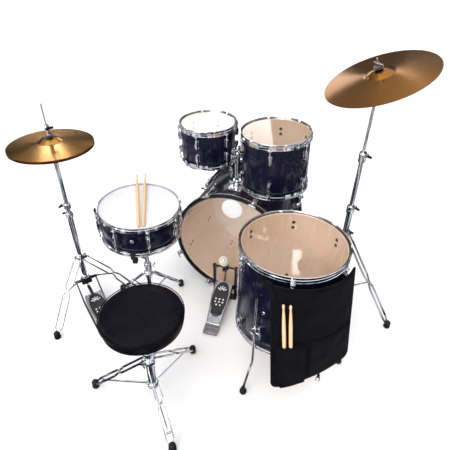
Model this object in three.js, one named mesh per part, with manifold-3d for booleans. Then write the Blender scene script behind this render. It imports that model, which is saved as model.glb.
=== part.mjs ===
// A five-drum acoustic kit set up to play: bass drum, two rack toms, floor tom and snare drum, hi-hats
// and a crash cymbal on stands, kick pedal, throne, stick bag and drumsticks. Millimetres, +Z up, +Y from
// the drummer to the audience, +X to the drummer's right. The kit is laid out about the foot of the bass
// drum's batter hoop and then centred, so that its origin is the middle of the floor that it covers.
import * as THREE from 'three';
import { mergeVertices } from 'three/addons/utils/BufferGeometryUtils.js';
import Module from 'manifold-3d';

const wasm = await Module();
wasm.setup();

// Driving dimensions
const INCH = 25.4;
const GAP = 0.3; // between pieces that touch
const ROUND = 24; // sides of a drum's round parts
const TUBE_SIDES = 8;
const ROD_SIDES = 5;

const SHELL_WALL = 6;
const HEAD_THICK = 1; // head film
const HOOP_RISE = 7; // bead of a metal hoop above its head
const HOOP_HEIGHT = 27;
const BEAD_OUT = 7; // bead outside the shell
const EAR_OUT = 17; // lug ear outside the shell
const ROD_OUT = 11; // tension rod's axis outside the shell
const ROD_RADIUS = 3;
const LUG_OUT = 19;
const LUG_WIDTH = 16;

const BASS = {
  radius: 11 * INCH, depth: 16 * INCH, wall: 8, height: 297,
  hoopOuter: 296, hoopInner: 284, hoopDepth: 38,
  edge: 13, // bearing edge behind the hoop's front edge
  lugs: 8, firstLug: 22.5, lugOut: 32, lugMiddle: 84, // behind the front edge of the nearer hoop
  rodRadius: 304, rodFrom: -22, // from the drum's axis, and in front of the hoop
};

// Each drum: its shell, its lugs (azimuth of the first, length, distance from the bead), its place and tilt
const TOM_1 = {
  name: 'tom1', radius: 5 * INCH, depth: 7 * INCH, lugs: 6, firstLug: 29, lugLength: 34, lugDrop: 64,
  place: [-157, 125, 902], tilt: [3, 0],
};
const TOM_2 = {
  name: 'tom2', radius: 6 * INCH, depth: 10 * INCH, lugs: 6, firstLug: 35, lugLength: 34, lugDrop: 70,
  place: [169, 123, 902], tilt: [3, -1.5],
};
const FLOOR_TOM = {
  name: 'floor_tom', radius: 8 * INCH, depth: 16 * INCH, lugs: 6, firstLug: 41, lugLength: 40, lugDrop: 64,
  place: [367, -318, 658], tilt: [0, 0],
};
const SNARE = {
  name: 'snare', radius: 7 * INCH, depth: 5.5 * INCH, lugs: 8, firstLug: -5, lugLength: 60, lugDrop: 78,
  place: [-354, -228.5, 606.5], tilt: [1.7, 2.2],
};

const FLOOR_LEG = {
  azimuths: [-111, 9, 129], radius: 218, rod: 5, top: 517, bend: 160, foot: 270, bracket: 343,
};

const POST = { x: -5, y: 122, radius: 12, play: 0.6, collar: 17, bottom: 596, top: 806 };
const ARM_HEIGHTS = [757, 787]; // middles of the two arms' collars on the post
const ARM_COLLAR = 12; // half height

const CYMBAL_THICK = 1.4;
const HAT = {
  radius: 7 * INCH, x: -715, y: -284, edge: 859, gap: 10, bell: 50, bellHeight: 16, height: 33,
};
const CRASH = {
  radius: 8 * INCH, centre: [544, 82, 1166.7], azimuth: -147.2, lean: 23.5,
  bell: 52, bellHeight: 17, height: 34,
};
const CRASH_PIVOT_DROP = 25; // tilter's pivot below the cymbal's edge plane
const CRASH_POLE = { x: 546, y: 98 };

const THRONE = { x: -83, y: -701, seatRadius: 154, seatBottom: 440, seatTop: 503 };
const SNARE_STAND = { x: -352, y: -226 };

const KICK = {
  x: 3.65, y: -60, turn: 4.35, axle: 207, beaterLength: 125, beaterLean: 36, beaterSide: 12,
  heel: -282, hinge: -227, postSide: 57, boardHalf: 45, heelHalf: 37,
};
const HAT_PEDAL_TURN = 54;

const BAG = {
  top: 625, bottom: 130, radius: 238, from: -97, to: -10, // hung along an arc about the floor tom
  facing: -45, flat: 240, bow: 700, halfWidth: 187, shift: 10, thick: 12, // and nearly flat at its bottom
  sticks: [0.125, 0.19], stickLow: 0.035, stickOff: 1.5,
};
const STICK = { length: 425, radius: 7, tip: 5 };

// Materials
const finish = (color, roughness, metalness) =>
  new THREE.MeshStandardMaterial({ color, roughness, metalness });
const CHROME = finish(0xd8dade, 0.1, 1);
const BLACK_LACQUER = finish(0x12131f, 0.12, 0);
const BLACK_PLASTIC = finish(0x141416, 0.45, 0);
const CLEAR_FILM = finish(0xcdb8a4, 0.15, 0);
const COATED_FILM = finish(0xe3e3e8, 0.7, 0);
const BRONZE = finish(0x9a6f35, 0.25, 1);
const VINYL = finish(0x15141c, 0.5, 0);
const CLOTH = finish(0x08080a, 0.9, 0);
const HICKORY = finish(0xe0b070, 0.5, 0);
const ALUMINIUM = finish(0xb8b8ba, 0.3, 1);

const radians = THREE.MathUtils.degToRad;
const point = (x, y, z) => new THREE.Vector3(x, y, z);
const polar = (radius, azimuth, z = 0) =>
  point(radius * Math.cos(radians(azimuth)), radius * Math.sin(radians(azimuth)), z);

// A closed geometry as a solid that can be joined and cut
function solid(geometry) {
  const bare = geometry.index ? geometry.toNonIndexed() : geometry.clone();
  bare.deleteAttribute('normal');
  bare.deleteAttribute('uv');
  const merged = mergeVertices(bare, 1e-3);
  const corners = merged.index.array;
  const kept = [];
  for (let i = 0; i < corners.length; i += 3) {
    const [a, b, c] = [corners[i], corners[i + 1], corners[i + 2]];
    if (a !== b && b !== c && c !== a) kept.push(a, b, c);
  }
  const vertProperties = merged.attributes.position.array;
  const triVerts = Uint32Array.from(outward(vertProperties, kept));
  return new wasm.Manifold(new wasm.Mesh({ numProp: 3, vertProperties, triVerts }));
}

// The triangles of a closed mesh turned to face out
function outward(vertices, triangles) {
  let volume = 0;
  const corner = (k) => new THREE.Vector3().fromArray(vertices, 3 * triangles[k]);
  for (let i = 0; i < triangles.length; i += 3) {
    volume += corner(i).dot(corner(i + 1).cross(corner(i + 2)));
  }
  if (volume > 0) return triangles;
  return triangles.map((_, k) => triangles[k - (k % 3) + 2 - (k % 3)]);
}

const join = (...geometries) => geometries.flat(2).map(solid).reduce((all, next) => all.add(next));
const cut = (body, ...tools) => tools.flat(2).map(solid).reduce((left, tool) => left.subtract(tool), body);

// A mesh from a solid or a geometry, in its group
function add(group, name, shape, material) {
  const body = shape.isBufferGeometry ? solid(shape) : shape;
  const data = body.getMesh();
  const geometry = new THREE.BufferGeometry();
  geometry.setAttribute('position', new THREE.BufferAttribute(data.vertProperties, 3));
  geometry.setIndex(new THREE.BufferAttribute(data.triVerts, 1));
  geometry.computeVertexNormals();
  const mesh = new THREE.Mesh(geometry, material);
  mesh.name = name;
  group.add(mesh);
  return mesh;
}

function groupAt(parent, x, y, z, turn = 0) {
  const group = new THREE.Group();
  group.position.set(x, y, z);
  group.rotation.z = radians(turn);
  parent.add(group);
  return group;
}

// A body of revolution about Z, from [radius, height] points that close on themselves or on the axis
function turned(profile, sides = ROUND) {
  const points = profile.map(([r, z]) => new THREE.Vector2(r, z));
  if (profile[0][0] > 0) points.push(points[0].clone());
  return new THREE.LatheGeometry(points, sides).rotateX(Math.PI / 2);
}

const pipe = (inner, outer, low, high, sides = TUBE_SIDES) =>
  turned([[inner, low], [outer, low], [outer, high], [inner, high]], sides);

// A tube with a wider clamp collar at its top
const clampedPipe = (inner, outer, low, high, collar, collarLow) =>
  turned([
    [inner, low], [outer, low], [outer, collarLow], [collar, collarLow], [collar, high], [inner, high],
  ], TUBE_SIDES);

function box(width, depth, height, x = 0, y = 0, z = 0) {
  return new THREE.BoxGeometry(width, depth, height).translate(x, y, z);
}

// Turns a geometry that stands on the origin along +Z so that it runs from one point to another
function along(geometry, from, to) {
  const direction = to.clone().sub(from).normalize();
  const turn = new THREE.Quaternion().setFromUnitVectors(point(0, 0, 1), direction);
  return geometry.applyQuaternion(turn).translate(from.x, from.y, from.z);
}

const disc = (radius, height, sides) =>
  new THREE.CylinderGeometry(radius, radius, height, sides).rotateX(Math.PI / 2).translate(0, 0, height / 2);

const rod = (from, to, radius, sides = ROD_SIDES) =>
  along(disc(radius, from.distanceTo(to), sides), from, to);

// A flat bar between two points, standing on its edge, its width square to the azimuth it runs out on
function bar(from, to, width, thickness, azimuth) {
  const length = from.distanceTo(to);
  const out = polar(1, azimuth);
  const side = point(-out.y, out.x, 0);
  const direction = to.clone().sub(from).normalize();
  const across = new THREE.Vector3().crossVectors(direction, side).normalize();
  const frame = new THREE.Matrix4().makeBasis(side, across.negate(), direction);
  const geometry = new THREE.BoxGeometry(thickness, width, length).translate(0, 0, length / 2);
  return geometry.applyMatrix4(frame).translate(from.x, from.y, from.z);
}

const turnAbout = (geometry, azimuth) => geometry.rotateZ(radians(azimuth));

// Drums with metal hoops: the origin is the middle of the top hoop's bead
const drumHeight = (drum) => drum.depth + 2 * (HOOP_RISE + HEAD_THICK + GAP);
const lugAzimuths = (drum) =>
  Array.from({ length: drum.lugs }, (_, i) => drum.firstLug + (360 / drum.lugs) * i);

function hoop(drum) {
  const r = drum.radius;
  const ring = turned([
    [r + 3, 0], [r + BEAD_OUT, 0], [r + BEAD_OUT, -4], [r + 5.2, -HOOP_HEIGHT], [r + 3, -HOOP_HEIGHT],
  ]);
  const rodEnd = drum.lugDrop - drum.lugLength / 2 - GAP;
  const ear = { length: EAR_OUT - 4, thick: 3 };
  const pieces = [ring];
  for (const azimuth of lugAzimuths(drum)) {
    const plate = box(ear.length, LUG_WIDTH, ear.thick, r + 4 + ear.length / 2, 0, ear.thick / 2);
    pieces.push(turnAbout(plate.translate(0, 0, -HOOP_HEIGHT), azimuth));
    pieces.push(rod(polar(r + ROD_OUT, azimuth, -18), polar(r + ROD_OUT, azimuth, -rodEnd), ROD_RADIUS, 4));
  }
  return join(pieces);
}

const head = (drum) => disc(drum.radius + 2.6, HEAD_THICK, ROUND).translate(0, 0, -HOOP_RISE - HEAD_THICK);

function drumShell(drum, extras = []) {
  const r = drum.radius;
  const top = -HOOP_RISE - HEAD_THICK - GAP;
  const pieces = [pipe(r - SHELL_WALL, r, top - drum.depth, top, ROUND)];
  const drops = new Set([drum.lugDrop, drumHeight(drum) - drum.lugDrop]);
  for (const azimuth of lugAzimuths(drum)) {
    for (const drop of drops) {
      const lug = box(LUG_OUT + 2, LUG_WIDTH, drum.lugLength, r - 2 + (LUG_OUT + 2) / 2, 0, -drop);
      pieces.push(turnAbout(lug, azimuth));
    }
  }
  return join(pieces, extras);
}

// The same piece at the bottom of the drum, facing down
function flipped(mesh, drum) {
  mesh.rotation.x = Math.PI;
  mesh.rotation.order = 'ZXY';
  mesh.rotation.z = radians(2 * drum.firstLug);
  mesh.position.z = -drumHeight(drum);
}

function addDrum(kit, drum, headMaterial, shell) {
  const group = groupAt(kit, ...drum.place);
  group.rotation.set(radians(drum.tilt[0]), radians(drum.tilt[1]), 0);
  add(group, `${drum.name}_shell`, shell, BLACK_LACQUER);
  add(group, `${drum.name}_top_head`, head(drum), headMaterial);
  add(group, `${drum.name}_top_hoop`, hoop(drum), CHROME);
  flipped(add(group, `${drum.name}_bottom_head`, head(drum), CLEAR_FILM), drum);
  flipped(add(group, `${drum.name}_bottom_hoop`, hoop(drum), CHROME), drum);
  return group;
}

// The bass drum lies along Y, built about its axis: z is the distance behind the batter hoop's front edge
const BASS_BACK = 2 * BASS.edge + BASS.depth;
const BASS_SIDES = 32;
const bassHead = () => disc(BASS.radius + 4, HEAD_THICK, BASS_SIDES);

// A hoop with the claws and rods that pull it on
function bassHoop() {
  const pieces = [pipe(BASS.hoopInner, BASS.hoopOuter, 0, BASS.hoopDepth, BASS_SIDES)];
  const rodEnd = BASS.lugMiddle - 22 - GAP;
  for (const azimuth of lugAzimuths(BASS)) {
    pieces.push(turnAbout(box(8, 20, 30, BASS.hoopOuter + 2.5, 0, 15), azimuth));
    const tip = polar(BASS.rodRadius, azimuth, BASS.rodFrom);
    pieces.push(rod(tip, polar(BASS.rodRadius, azimuth, rodEnd), ROD_RADIUS));
  }
  return join(pieces);
}

function bassShell() {
  const { radius, wall, edge, depth, lugOut, lugMiddle } = BASS;
  const pieces = [pipe(radius - wall, radius, edge, edge + depth, BASS_SIDES)];
  for (const azimuth of lugAzimuths(BASS)) {
    for (const middle of [lugMiddle, BASS_BACK - lugMiddle]) {
      pieces.push(turnAbout(box(lugOut + 2, 18, 44, radius - 2 + (lugOut + 2) / 2, 0, middle), azimuth));
    }
  }
  for (const side of [-1, 1]) {
    pieces.push(box(10, 30, 44, side * radius, 0, SPUR.along));
  }
  return join(pieces);
}

const SPUR = { along: 330, out: 292, reach: 106, forward: 70, radius: 7 };

// A spur tube from its pivot beside the shell to its rubber tip on the floor
function spur(side) {
  const pivot = point(side * SPUR.out, 0, 0);
  const tip = point(side * (SPUR.out + SPUR.reach), SPUR.forward, 20 - BASS.height);
  const pad = tip.clone().setZ(-BASS.height);
  return join(rod(pivot, tip, SPUR.radius, 8), along(disc(13, 34, 8), pad, pad.clone().setZ(0)));
}

function addBassDrum(kit) {
  const group = groupAt(kit, 0, 0, BASS.height);
  const barrel = new THREE.Group();
  barrel.rotation.x = -Math.PI / 2;
  group.add(barrel);
  const headDepth = BASS.edge - HEAD_THICK - GAP;
  add(barrel, 'bass_shell', bassShell(), BLACK_LACQUER);
  add(barrel, 'bass_batter_head', bassHead(), CLEAR_FILM).position.z = headDepth;
  add(barrel, 'bass_batter_hoop', bassHoop(), BLACK_LACQUER);
  const frontHead = add(barrel, 'bass_front_head', bassHead(), COATED_FILM);
  const frontHoop = add(barrel, 'bass_front_hoop', bassHoop(), BLACK_LACQUER);
  frontHead.position.z = BASS_BACK - headDepth;
  frontHoop.position.z = BASS_BACK;
  for (const mesh of [frontHead, frontHoop]) mesh.rotation.y = Math.PI;
  for (const [side, name] of [[-1, 'bass_spur_left'], [1, 'bass_spur_right']]) {
    add(group, name, spur(side), CHROME).position.y = SPUR.along;
  }
}

// The rack tom holder: a receiver on the bass drum, a post, and an arm that each tom hangs on
function addTomHolder(kit) {
  const top = BASS.height + BASS.radius;
  const plate = box(70, 90, 14, POST.x, POST.y, top + 3);
  const receiver = rod(point(POST.x, POST.y, top - 4), point(POST.x, POST.y, top + 46), 19, TUBE_SIDES);
  const wing = rod(point(POST.x, POST.y, top + 30), point(POST.x - 44, POST.y - 14, top + 30), 5);
  const onPost = (z) => point(POST.x, POST.y, z);
  const bore = rod(onPost(POST.bottom - 4), onPost(top + 60), POST.radius + POST.play, 12);
  const shellRoom = along(
    disc(BASS.radius + GAP, 300, 64), point(0, 0, BASS.height), point(0, 300, BASS.height));
  const base = cut(join(plate, receiver, wing), bore, shellRoom);
  add(kit, 'tom_mount_base', base, CHROME);
  const post = rod(onPost(POST.bottom), onPost(POST.top), POST.radius, 12);
  add(kit, 'tom_post', join(post), CHROME);
  for (const [i, [name, side]] of [['tom1_arm', -1], ['tom2_arm', 1]].entries()) {
    const z = ARM_HEIGHTS[i];
    const collar = pipe(POST.radius + POST.play, POST.collar, z - ARM_COLLAR, z + ARM_COLLAR, 12);
    const key = rod(point(POST.x, POST.y - 15, z), point(POST.x - side * 4, POST.y - 44, z), 4);
    add(kit, name, join(collar.translate(POST.x, POST.y, 0), key), CHROME);
  }
}

// Brackets on the two rack toms' shells, which their arms carry
function tomBracket(drum, side, armHeight) {
  const z = armHeight - drum.place[2];
  const end = Math.abs(POST.x - drum.place[0]) - POST.collar - 2.5;
  const start = drum.radius - 3;
  return box(end - start, 60, 40, (side * (start + end)) / 2, POST.y - drum.place[1], z);
}

// Floor tom legs: a straight stretch in the bracket, then a bend out to the rubber foot
function floorLeg(azimuth) {
  const place = (r, z) => polar(r, azimuth, z);
  const path = new THREE.CatmullRomCurve3([
    place(FLOOR_LEG.radius, FLOOR_LEG.top), place(FLOOR_LEG.radius, 400), place(FLOOR_LEG.radius, 260),
    place(FLOOR_LEG.radius, FLOOR_LEG.bend), place(FLOOR_LEG.radius + 24, 106),
    place(FLOOR_LEG.foot - 6, 50), place(FLOOR_LEG.foot, 12),
  ], false, 'centripetal');
  const section = new THREE.Shape(new THREE.Path().absarc(0, 0, FLOOR_LEG.rod, 0, 2 * Math.PI).getPoints(3));
  const tube = new THREE.ExtrudeGeometry(section, { steps: 12, extrudePath: path });
  return join(tube, disc(13, 26, 8).translate(...place(FLOOR_LEG.foot, 0).toArray()));
}

function floorBracket(azimuth) {
  const z = FLOOR_LEG.bracket - FLOOR_TOM.place[2];
  const start = FLOOR_TOM.radius - 2;
  const end = FLOOR_LEG.radius + 11;
  const block = box(end - start, 28, 28, (start + end) / 2, 0, z);
  const screw = rod(point(FLOOR_LEG.radius, 10, z - 4), point(FLOOR_LEG.radius + 2, 34, z - 4), 4);
  return [turnAbout(block, azimuth), turnAbout(screw, azimuth)];
}

function addFloorTom(kit) {
  const brackets = FLOOR_LEG.azimuths.flatMap(floorBracket);
  const bores = FLOOR_LEG.azimuths.map((azimuth) => rod(
    polar(FLOOR_LEG.radius, azimuth, -400), polar(FLOOR_LEG.radius, azimuth, -250), FLOOR_LEG.rod + 1.2, 8));
  const group = addDrum(kit, FLOOR_TOM, CLEAR_FILM, cut(drumShell(FLOOR_TOM, brackets), bores));
  FLOOR_LEG.azimuths.forEach((azimuth, i) => {
    add(group, `floor_tom_leg_${i + 1}`, floorLeg(azimuth), CHROME).position.z = -FLOOR_TOM.place[2];
  });
}

// The snare drum with its strainer housing, butt plate and throw-off lever
const STRAINER = { azimuth: -160, middle: -78, half: 26, out: 22 };

function addSnare(kit) {
  const r = SNARE.radius;
  const housing = box(STRAINER.out + 2, 34, 2 * STRAINER.half, r + STRAINER.out / 2 - 1, 0, STRAINER.middle);
  const butt = box(14, 34, 40, r + 5, 0, STRAINER.middle);
  const extras = [turnAbout(housing, STRAINER.azimuth), turnAbout(butt, STRAINER.azimuth + 180)];
  const group = addDrum(kit, SNARE, COATED_FILM, drumShell(SNARE, extras));
  const low = STRAINER.middle - 12;
  const lever = box(8, 14, 58, r + STRAINER.out + GAP + 4, 0, low + 29);
  add(group, 'snare_throw_off_lever', turnAbout(lever, STRAINER.azimuth), CHROME);
  addSticks(group);
  return group;
}

// A drumstick lying along +X: butt at the origin, taper and bead at the far end
function stick() {
  return turned([
    [0, 0], [STICK.radius, 3], [STICK.radius, 310], [STICK.radius - 3.5, 402], [STICK.tip, 409],
    [STICK.tip, 418], [0, STICK.length],
  ], 8);
}

const STICKS_ON_SNARE = [[84, -148, 121], [99, -134, 118]]; // butt x, y and the azimuth each points to
const STICK_RISE = 0.018; // radians up from the head to the far hoop that each stick lies across

function addSticks(group) {
  STICKS_ON_SNARE.forEach(([x, y, azimuth], i) => {
    const mesh = add(group, `stick_${i + 1}`, stick(), HICKORY);
    mesh.rotation.y = Math.PI / 2 - STICK_RISE;
    const holder = groupAt(group, x, y, STICK.radius - HOOP_RISE + GAP, azimuth);
    holder.add(mesh);
  });
}

// Double-bar legs: two upper bars, a pinched joint, two lower bars, a brace and a rubber foot
function standLeg(leg, azimuth, wall) {
  const { collar, foot, hub, joint, jointRise, spread, width } = leg;
  const top = polar(wall + 4, azimuth, collar);
  const heel = polar(foot - 5, azimuth, 26);
  const middle = top.clone().lerp(heel, joint).add(point(0, 0, jointRise));
  const side = polar(1, azimuth + 90);
  const pieces = [];
  for (const s of [-1, 1]) {
    const shifted = (base, gap) => base.clone().addScaledVector(side, s * gap);
    pieces.push(bar(shifted(top, spread), shifted(middle, 5), width, 3, azimuth));
    pieces.push(bar(shifted(middle, 5), shifted(heel, spread * 0.6), width, 3, azimuth));
  }
  const block = (length, breadth, height, place) =>
    turnAbout(box(length, breadth, height), azimuth).translate(...place.toArray());
  pieces.push(block(8, 14, 8, middle), block(14, 2 * spread + 8, 8, polar(wall + 6, azimuth, collar)));
  pieces.push(bar(middle, polar(wall + 2, azimuth, hub), 6, 4, azimuth));
  const toe = polar(foot, azimuth, 0);
  pieces.push(along(new THREE.CylinderGeometry(12, 15, 36, 8).rotateX(Math.PI / 2).translate(0, 0, 18),
    toe, toe.clone().setZ(1)));
  return pieces;
}

// A stand's lower tube with its leg collar, brace hub and legs
function standBase(tube, leg) {
  const pieces = [clampedPipe(tube.inner, tube.outer, tube.low, tube.high, tube.collar, tube.collarLow)];
  pieces.push(pipe(tube.inner, tube.outer + 7, leg.collar - 16, leg.collar + 14));
  pieces.push(pipe(tube.inner, tube.outer + 6, leg.hub - 12, leg.hub + 12));
  pieces.push(wingScrew(tube.collar, (tube.high + tube.collarLow) / 2, tube.wing));
  for (const azimuth of leg.azimuths) pieces.push(...standLeg(leg, azimuth, tube.outer));
  return pieces;
}

function wingScrew(radius, z, azimuth) {
  const start = polar(radius - 2, azimuth, z);
  const end = polar(radius + 16, azimuth, z);
  return [rod(start, end, 4), turnAbout(box(4, 30, 14, radius + 14, 0, z), azimuth)];
}

// A cymbal from its edge plane up: bow, bell and centre hole
function cymbal(radius, bell, bellBase, height) {
  const t = CYMBAL_THICK;
  const upper = [[7, height], [bell - 16, height - 5], [bell, bellBase], [radius, t]];
  const lower = upper.map(([r, z]) => [r, z - t]).reverse();
  return turned([...upper, ...lower]);
}

const HAT_STAND = {
  tube: { inner: 11, outer: 13, low: 96, high: 511, collar: 18, collarLow: 486, wing: 160 },
  leg: {
    azimuths: [-80, 9], collar: 246, foot: 329, hub: 108,
    joint: 0.5, jointRise: 22, spread: 18, width: 9,
  },
};

function addHiHat(kit) {
  const group = groupAt(kit, HAT.x, HAT.y, 0);
  const frame = hatFrame();
  const bore = rod(point(0, 0, 40), point(0, 0, 130), 6, 8);
  const base = cut(join(standBase(HAT_STAND.tube, HAT_STAND.leg), frame), bore);
  add(group, 'hihat_stand_base', base, CHROME);
  const seat = HAT.edge - HAT.gap - HAT.height - CYMBAL_THICK;
  const upper = turned([
    [7.5, 300], [9.5, 300], [9.5, 536], [17, 536], [17, 562], [9.5, 562], [9.5, seat - 14], [22, seat - 6],
    [22, seat - GAP], [7.5, seat - GAP],
  ], TUBE_SIDES);
  add(group, 'hihat_upper_tube', join(upper, wingScrew(17, 549, 200)), CHROME);
  const bell = HAT.edge + HAT.height;
  add(group, 'hihat_pull_rod', rod(point(0, 0, 66), point(0, 0, 1033), 3), CHROME);
  const clutch = turned([
    [3.8, bell + GAP], [17, bell + GAP], [17, bell + 11], [9, bell + 12], [9, 945], [3.8, 945],
  ], TUBE_SIDES);
  add(group, 'hihat_clutch', join(clutch, wingScrew(9, 936, -20)), CHROME);
  const hatCymbal = () => cymbal(HAT.radius, HAT.bell, HAT.bellHeight, HAT.height);
  add(group, 'hihat_top_cymbal', hatCymbal(), BRONZE).position.z = HAT.edge;
  const lower = add(group, 'hihat_bottom_cymbal', hatCymbal(), BRONZE);
  lower.rotation.x = Math.PI;
  lower.position.z = HAT.edge - HAT.gap;
  const pedal = groupAt(group, 0, 0, 0, HAT_PEDAL_TURN);
  add(pedal, 'hihat_footboard', hatFootboard(), ALUMINIUM);
}

const HAT_PEDAL = { heel: -415, hinge: -345, toe: -85, hook: -14, half: 45, rods: 52, low: 24, high: 48 };

// The casting under the tube, its two side rods along the floor, and the heel plate, turned with the pedal
function hatFrame() {
  const pieces = [box(62, 44, 40, 0, 0, 84), rod(point(-58, 0, 84), point(58, 0, 84), 9, 8)];
  for (const s of [-1, 1]) {
    const x = s * HAT_PEDAL.rods;
    pieces.push(rod(point(x, 0, 84), point(x, -110, 8), 4));
    pieces.push(rod(point(x, -107, 8), point(x, HAT_PEDAL.hinge, 8), 4));
  }
  const depth = HAT_PEDAL.hinge - HAT_PEDAL.heel;
  pieces.push(box(96, depth, 5, 0, HAT_PEDAL.heel + depth / 2, 2.5));
  pieces.push(box(84, 16, 12, 0, HAT_PEDAL.hinge - 10, 8));
  pieces.push(box(116, 10, 10, 0, HAT_PEDAL.hinge - 4, 7));
  return pieces.map((piece) => turnAbout(piece, HAT_PEDAL_TURN));
}

function hatFootboard() {
  const { hinge, toe, hook, half, low, high } = HAT_PEDAL;
  const plate = bar(point(0, hinge + 2, low), point(0, toe, high), 6, 2 * half, 90);
  const arm = bar(point(0, toe - 20, high), point(0, hook, high), 8, 16, 90);
  return join(plate, arm);
}

const CRASH_STAND = {
  tube: { inner: 11, outer: 13, low: 60, high: 609, collar: 18, collarLow: 571, wing: 30 },
  leg: {
    azimuths: [-14.5, 105.5, 225.5], collar: 449, foot: 302, hub: 100,
    joint: 0.52, jointRise: 0, spread: 17, width: 9,
  },
};

function addCrash(kit) {
  const group = groupAt(kit, CRASH_POLE.x, CRASH_POLE.y, 0);
  add(group, 'crash_stand_base', join(standBase(CRASH_STAND.tube, CRASH_STAND.leg)), CHROME);
  const middle = clampedPipe(7.4, 9.7, 330, 868, 16, 824);
  add(group, 'crash_middle_tube', join(middle, wingScrew(16, 846, 30)), CHROME);
  addTilter(kit);
}

// The cymbal leans at its tilter: one frame has its Z along the cymbal's axis and its X along the hinge pin
function addTilter(kit) {
  const lean = radians(CRASH.lean);
  const normal = polar(Math.sin(lean), CRASH.azimuth, Math.cos(lean));
  const pin = polar(1, CRASH.azimuth + 90);
  const leaning = new THREE.Group();
  const frame = new THREE.Matrix4().makeBasis(pin, new THREE.Vector3().crossVectors(normal, pin), normal);
  leaning.quaternion.setFromRotationMatrix(frame);
  leaning.position.set(...CRASH.centre);
  kit.add(leaning);
  const pivot = point(...CRASH.centre).addScaledVector(normal, -CRASH_PIVOT_DROP);
  const poleSide = pivot.clone().addScaledVector(pin, -13);
  const cheek = along(disc(15, 12, 12), pivot.clone().addScaledVector(pin, -18.5), pivot);
  const pole = rod(point(poleSide.x, poleSide.y, 620), poleSide, 6, TUBE_SIDES);
  add(kit, 'crash_top_tube', join(pole, cheek), CHROME);
  const drop = -CRASH_PIVOT_DROP;
  const under = CRASH.height - CYMBAL_THICK;
  const wheel = disc(14, 12, 12).rotateY(Math.PI / 2).translate(-6, 0, drop);
  const stem = rod(point(0, 0, drop), point(0, 0, CRASH.height + 44), 3.4, 8);
  const seat = disc(12, 6, TUBE_SIDES).translate(0, 0, under - 9.5);
  const nut = disc(12, 12, TUBE_SIDES).translate(0, 0, CRASH.height + 9);
  const wings = box(38, 5, 10, 0, 0, CRASH.height + 20);
  add(leaning, 'crash_tilter', join(wheel, stem, seat, nut, wings), CHROME);
  add(leaning, 'crash_cymbal', cymbal(CRASH.radius, CRASH.bell, CRASH.bellHeight, CRASH.height), BRONZE);
}

const THRONE_STAND = {
  tube: { inner: 13.2, outer: 16, low: 46, high: 292, collar: 22, collarLow: 262, wing: 200 },
  leg: {
    azimuths: [-166, 74, -46], collar: 222, foot: 255, hub: 66,
    joint: 0.5, jointRise: 0, spread: 17, width: 9,
  },
};

function addThrone(kit) {
  const group = groupAt(kit, THRONE.x, THRONE.y, 0);
  add(group, 'throne_base', join(standBase(THRONE_STAND.tube, THRONE_STAND.leg)), CHROME);
  const post = pipe(9.5, 12.6, 140, THRONE.seatBottom - GAP);
  const plate = disc(60, 4, 12).translate(0, 0, THRONE.seatBottom - 4 - GAP);
  add(group, 'throne_post', join(post, plate), CHROME);
  const r = THRONE.seatRadius;
  const { seatBottom: low, seatTop: high } = THRONE;
  add(group, 'throne_seat', turned([
    [0, low], [r - 10, low], [r - 2, low + 12], [r, low + 30],
    [r - 4, high - 16], [r - 22, high - 5], [0, high],
  ]), VINYL);
}

const SNARE_LEGS = {
  tube: { inner: 11, outer: 13, low: 50, high: 262, collar: 18, collarLow: 236, wing: 20 },
  leg: {
    azimuths: [58.7, 177.5, -61.3], collar: 196, foot: 185, hub: 66,
    joint: 0.5, jointRise: 0, spread: 14, width: 9,
  },
};

// The basket leans with the drum that it holds
function addSnareStand(kit, snareGroup) {
  const group = groupAt(kit, SNARE_STAND.x, SNARE_STAND.y, 0);
  add(group, 'snare_stand_base', join(standBase(SNARE_LEGS.tube, SNARE_LEGS.leg)), CHROME);
  const under = -drumHeight(SNARE) - GAP;
  const hub = point(0, 0, under - 134);
  const rim = SNARE.radius + BEAD_OUT;
  const arms = [-72, 64, 154].flatMap((azimuth) => [
    rod(hub, polar(110, azimuth, under - 56), 5),
    rod(polar(108, azimuth, under - 57), polar(rim - 10, azimuth, under - 6), 5),
    turnAbout(box(28, 20, 6, rim - 6, 0, under - 3), azimuth),
    turnAbout(box(7, 20, 34, rim + 4.5, 0, under + 11), azimuth),
  ]);
  const block = disc(20, 40, TUBE_SIDES).translate(0, 0, under - 158);
  snareGroup.updateWorldMatrix(true, false);
  const place = (z) => point(SNARE_STAND.x, SNARE_STAND.y, z);
  const stem = rod(place(130), place(305), 9.5, TUBE_SIDES);
  stem.applyMatrix4(snareGroup.matrixWorld.clone().invert());
  add(snareGroup, 'snare_basket', join(arms, block, stem), CHROME);
}

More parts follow.
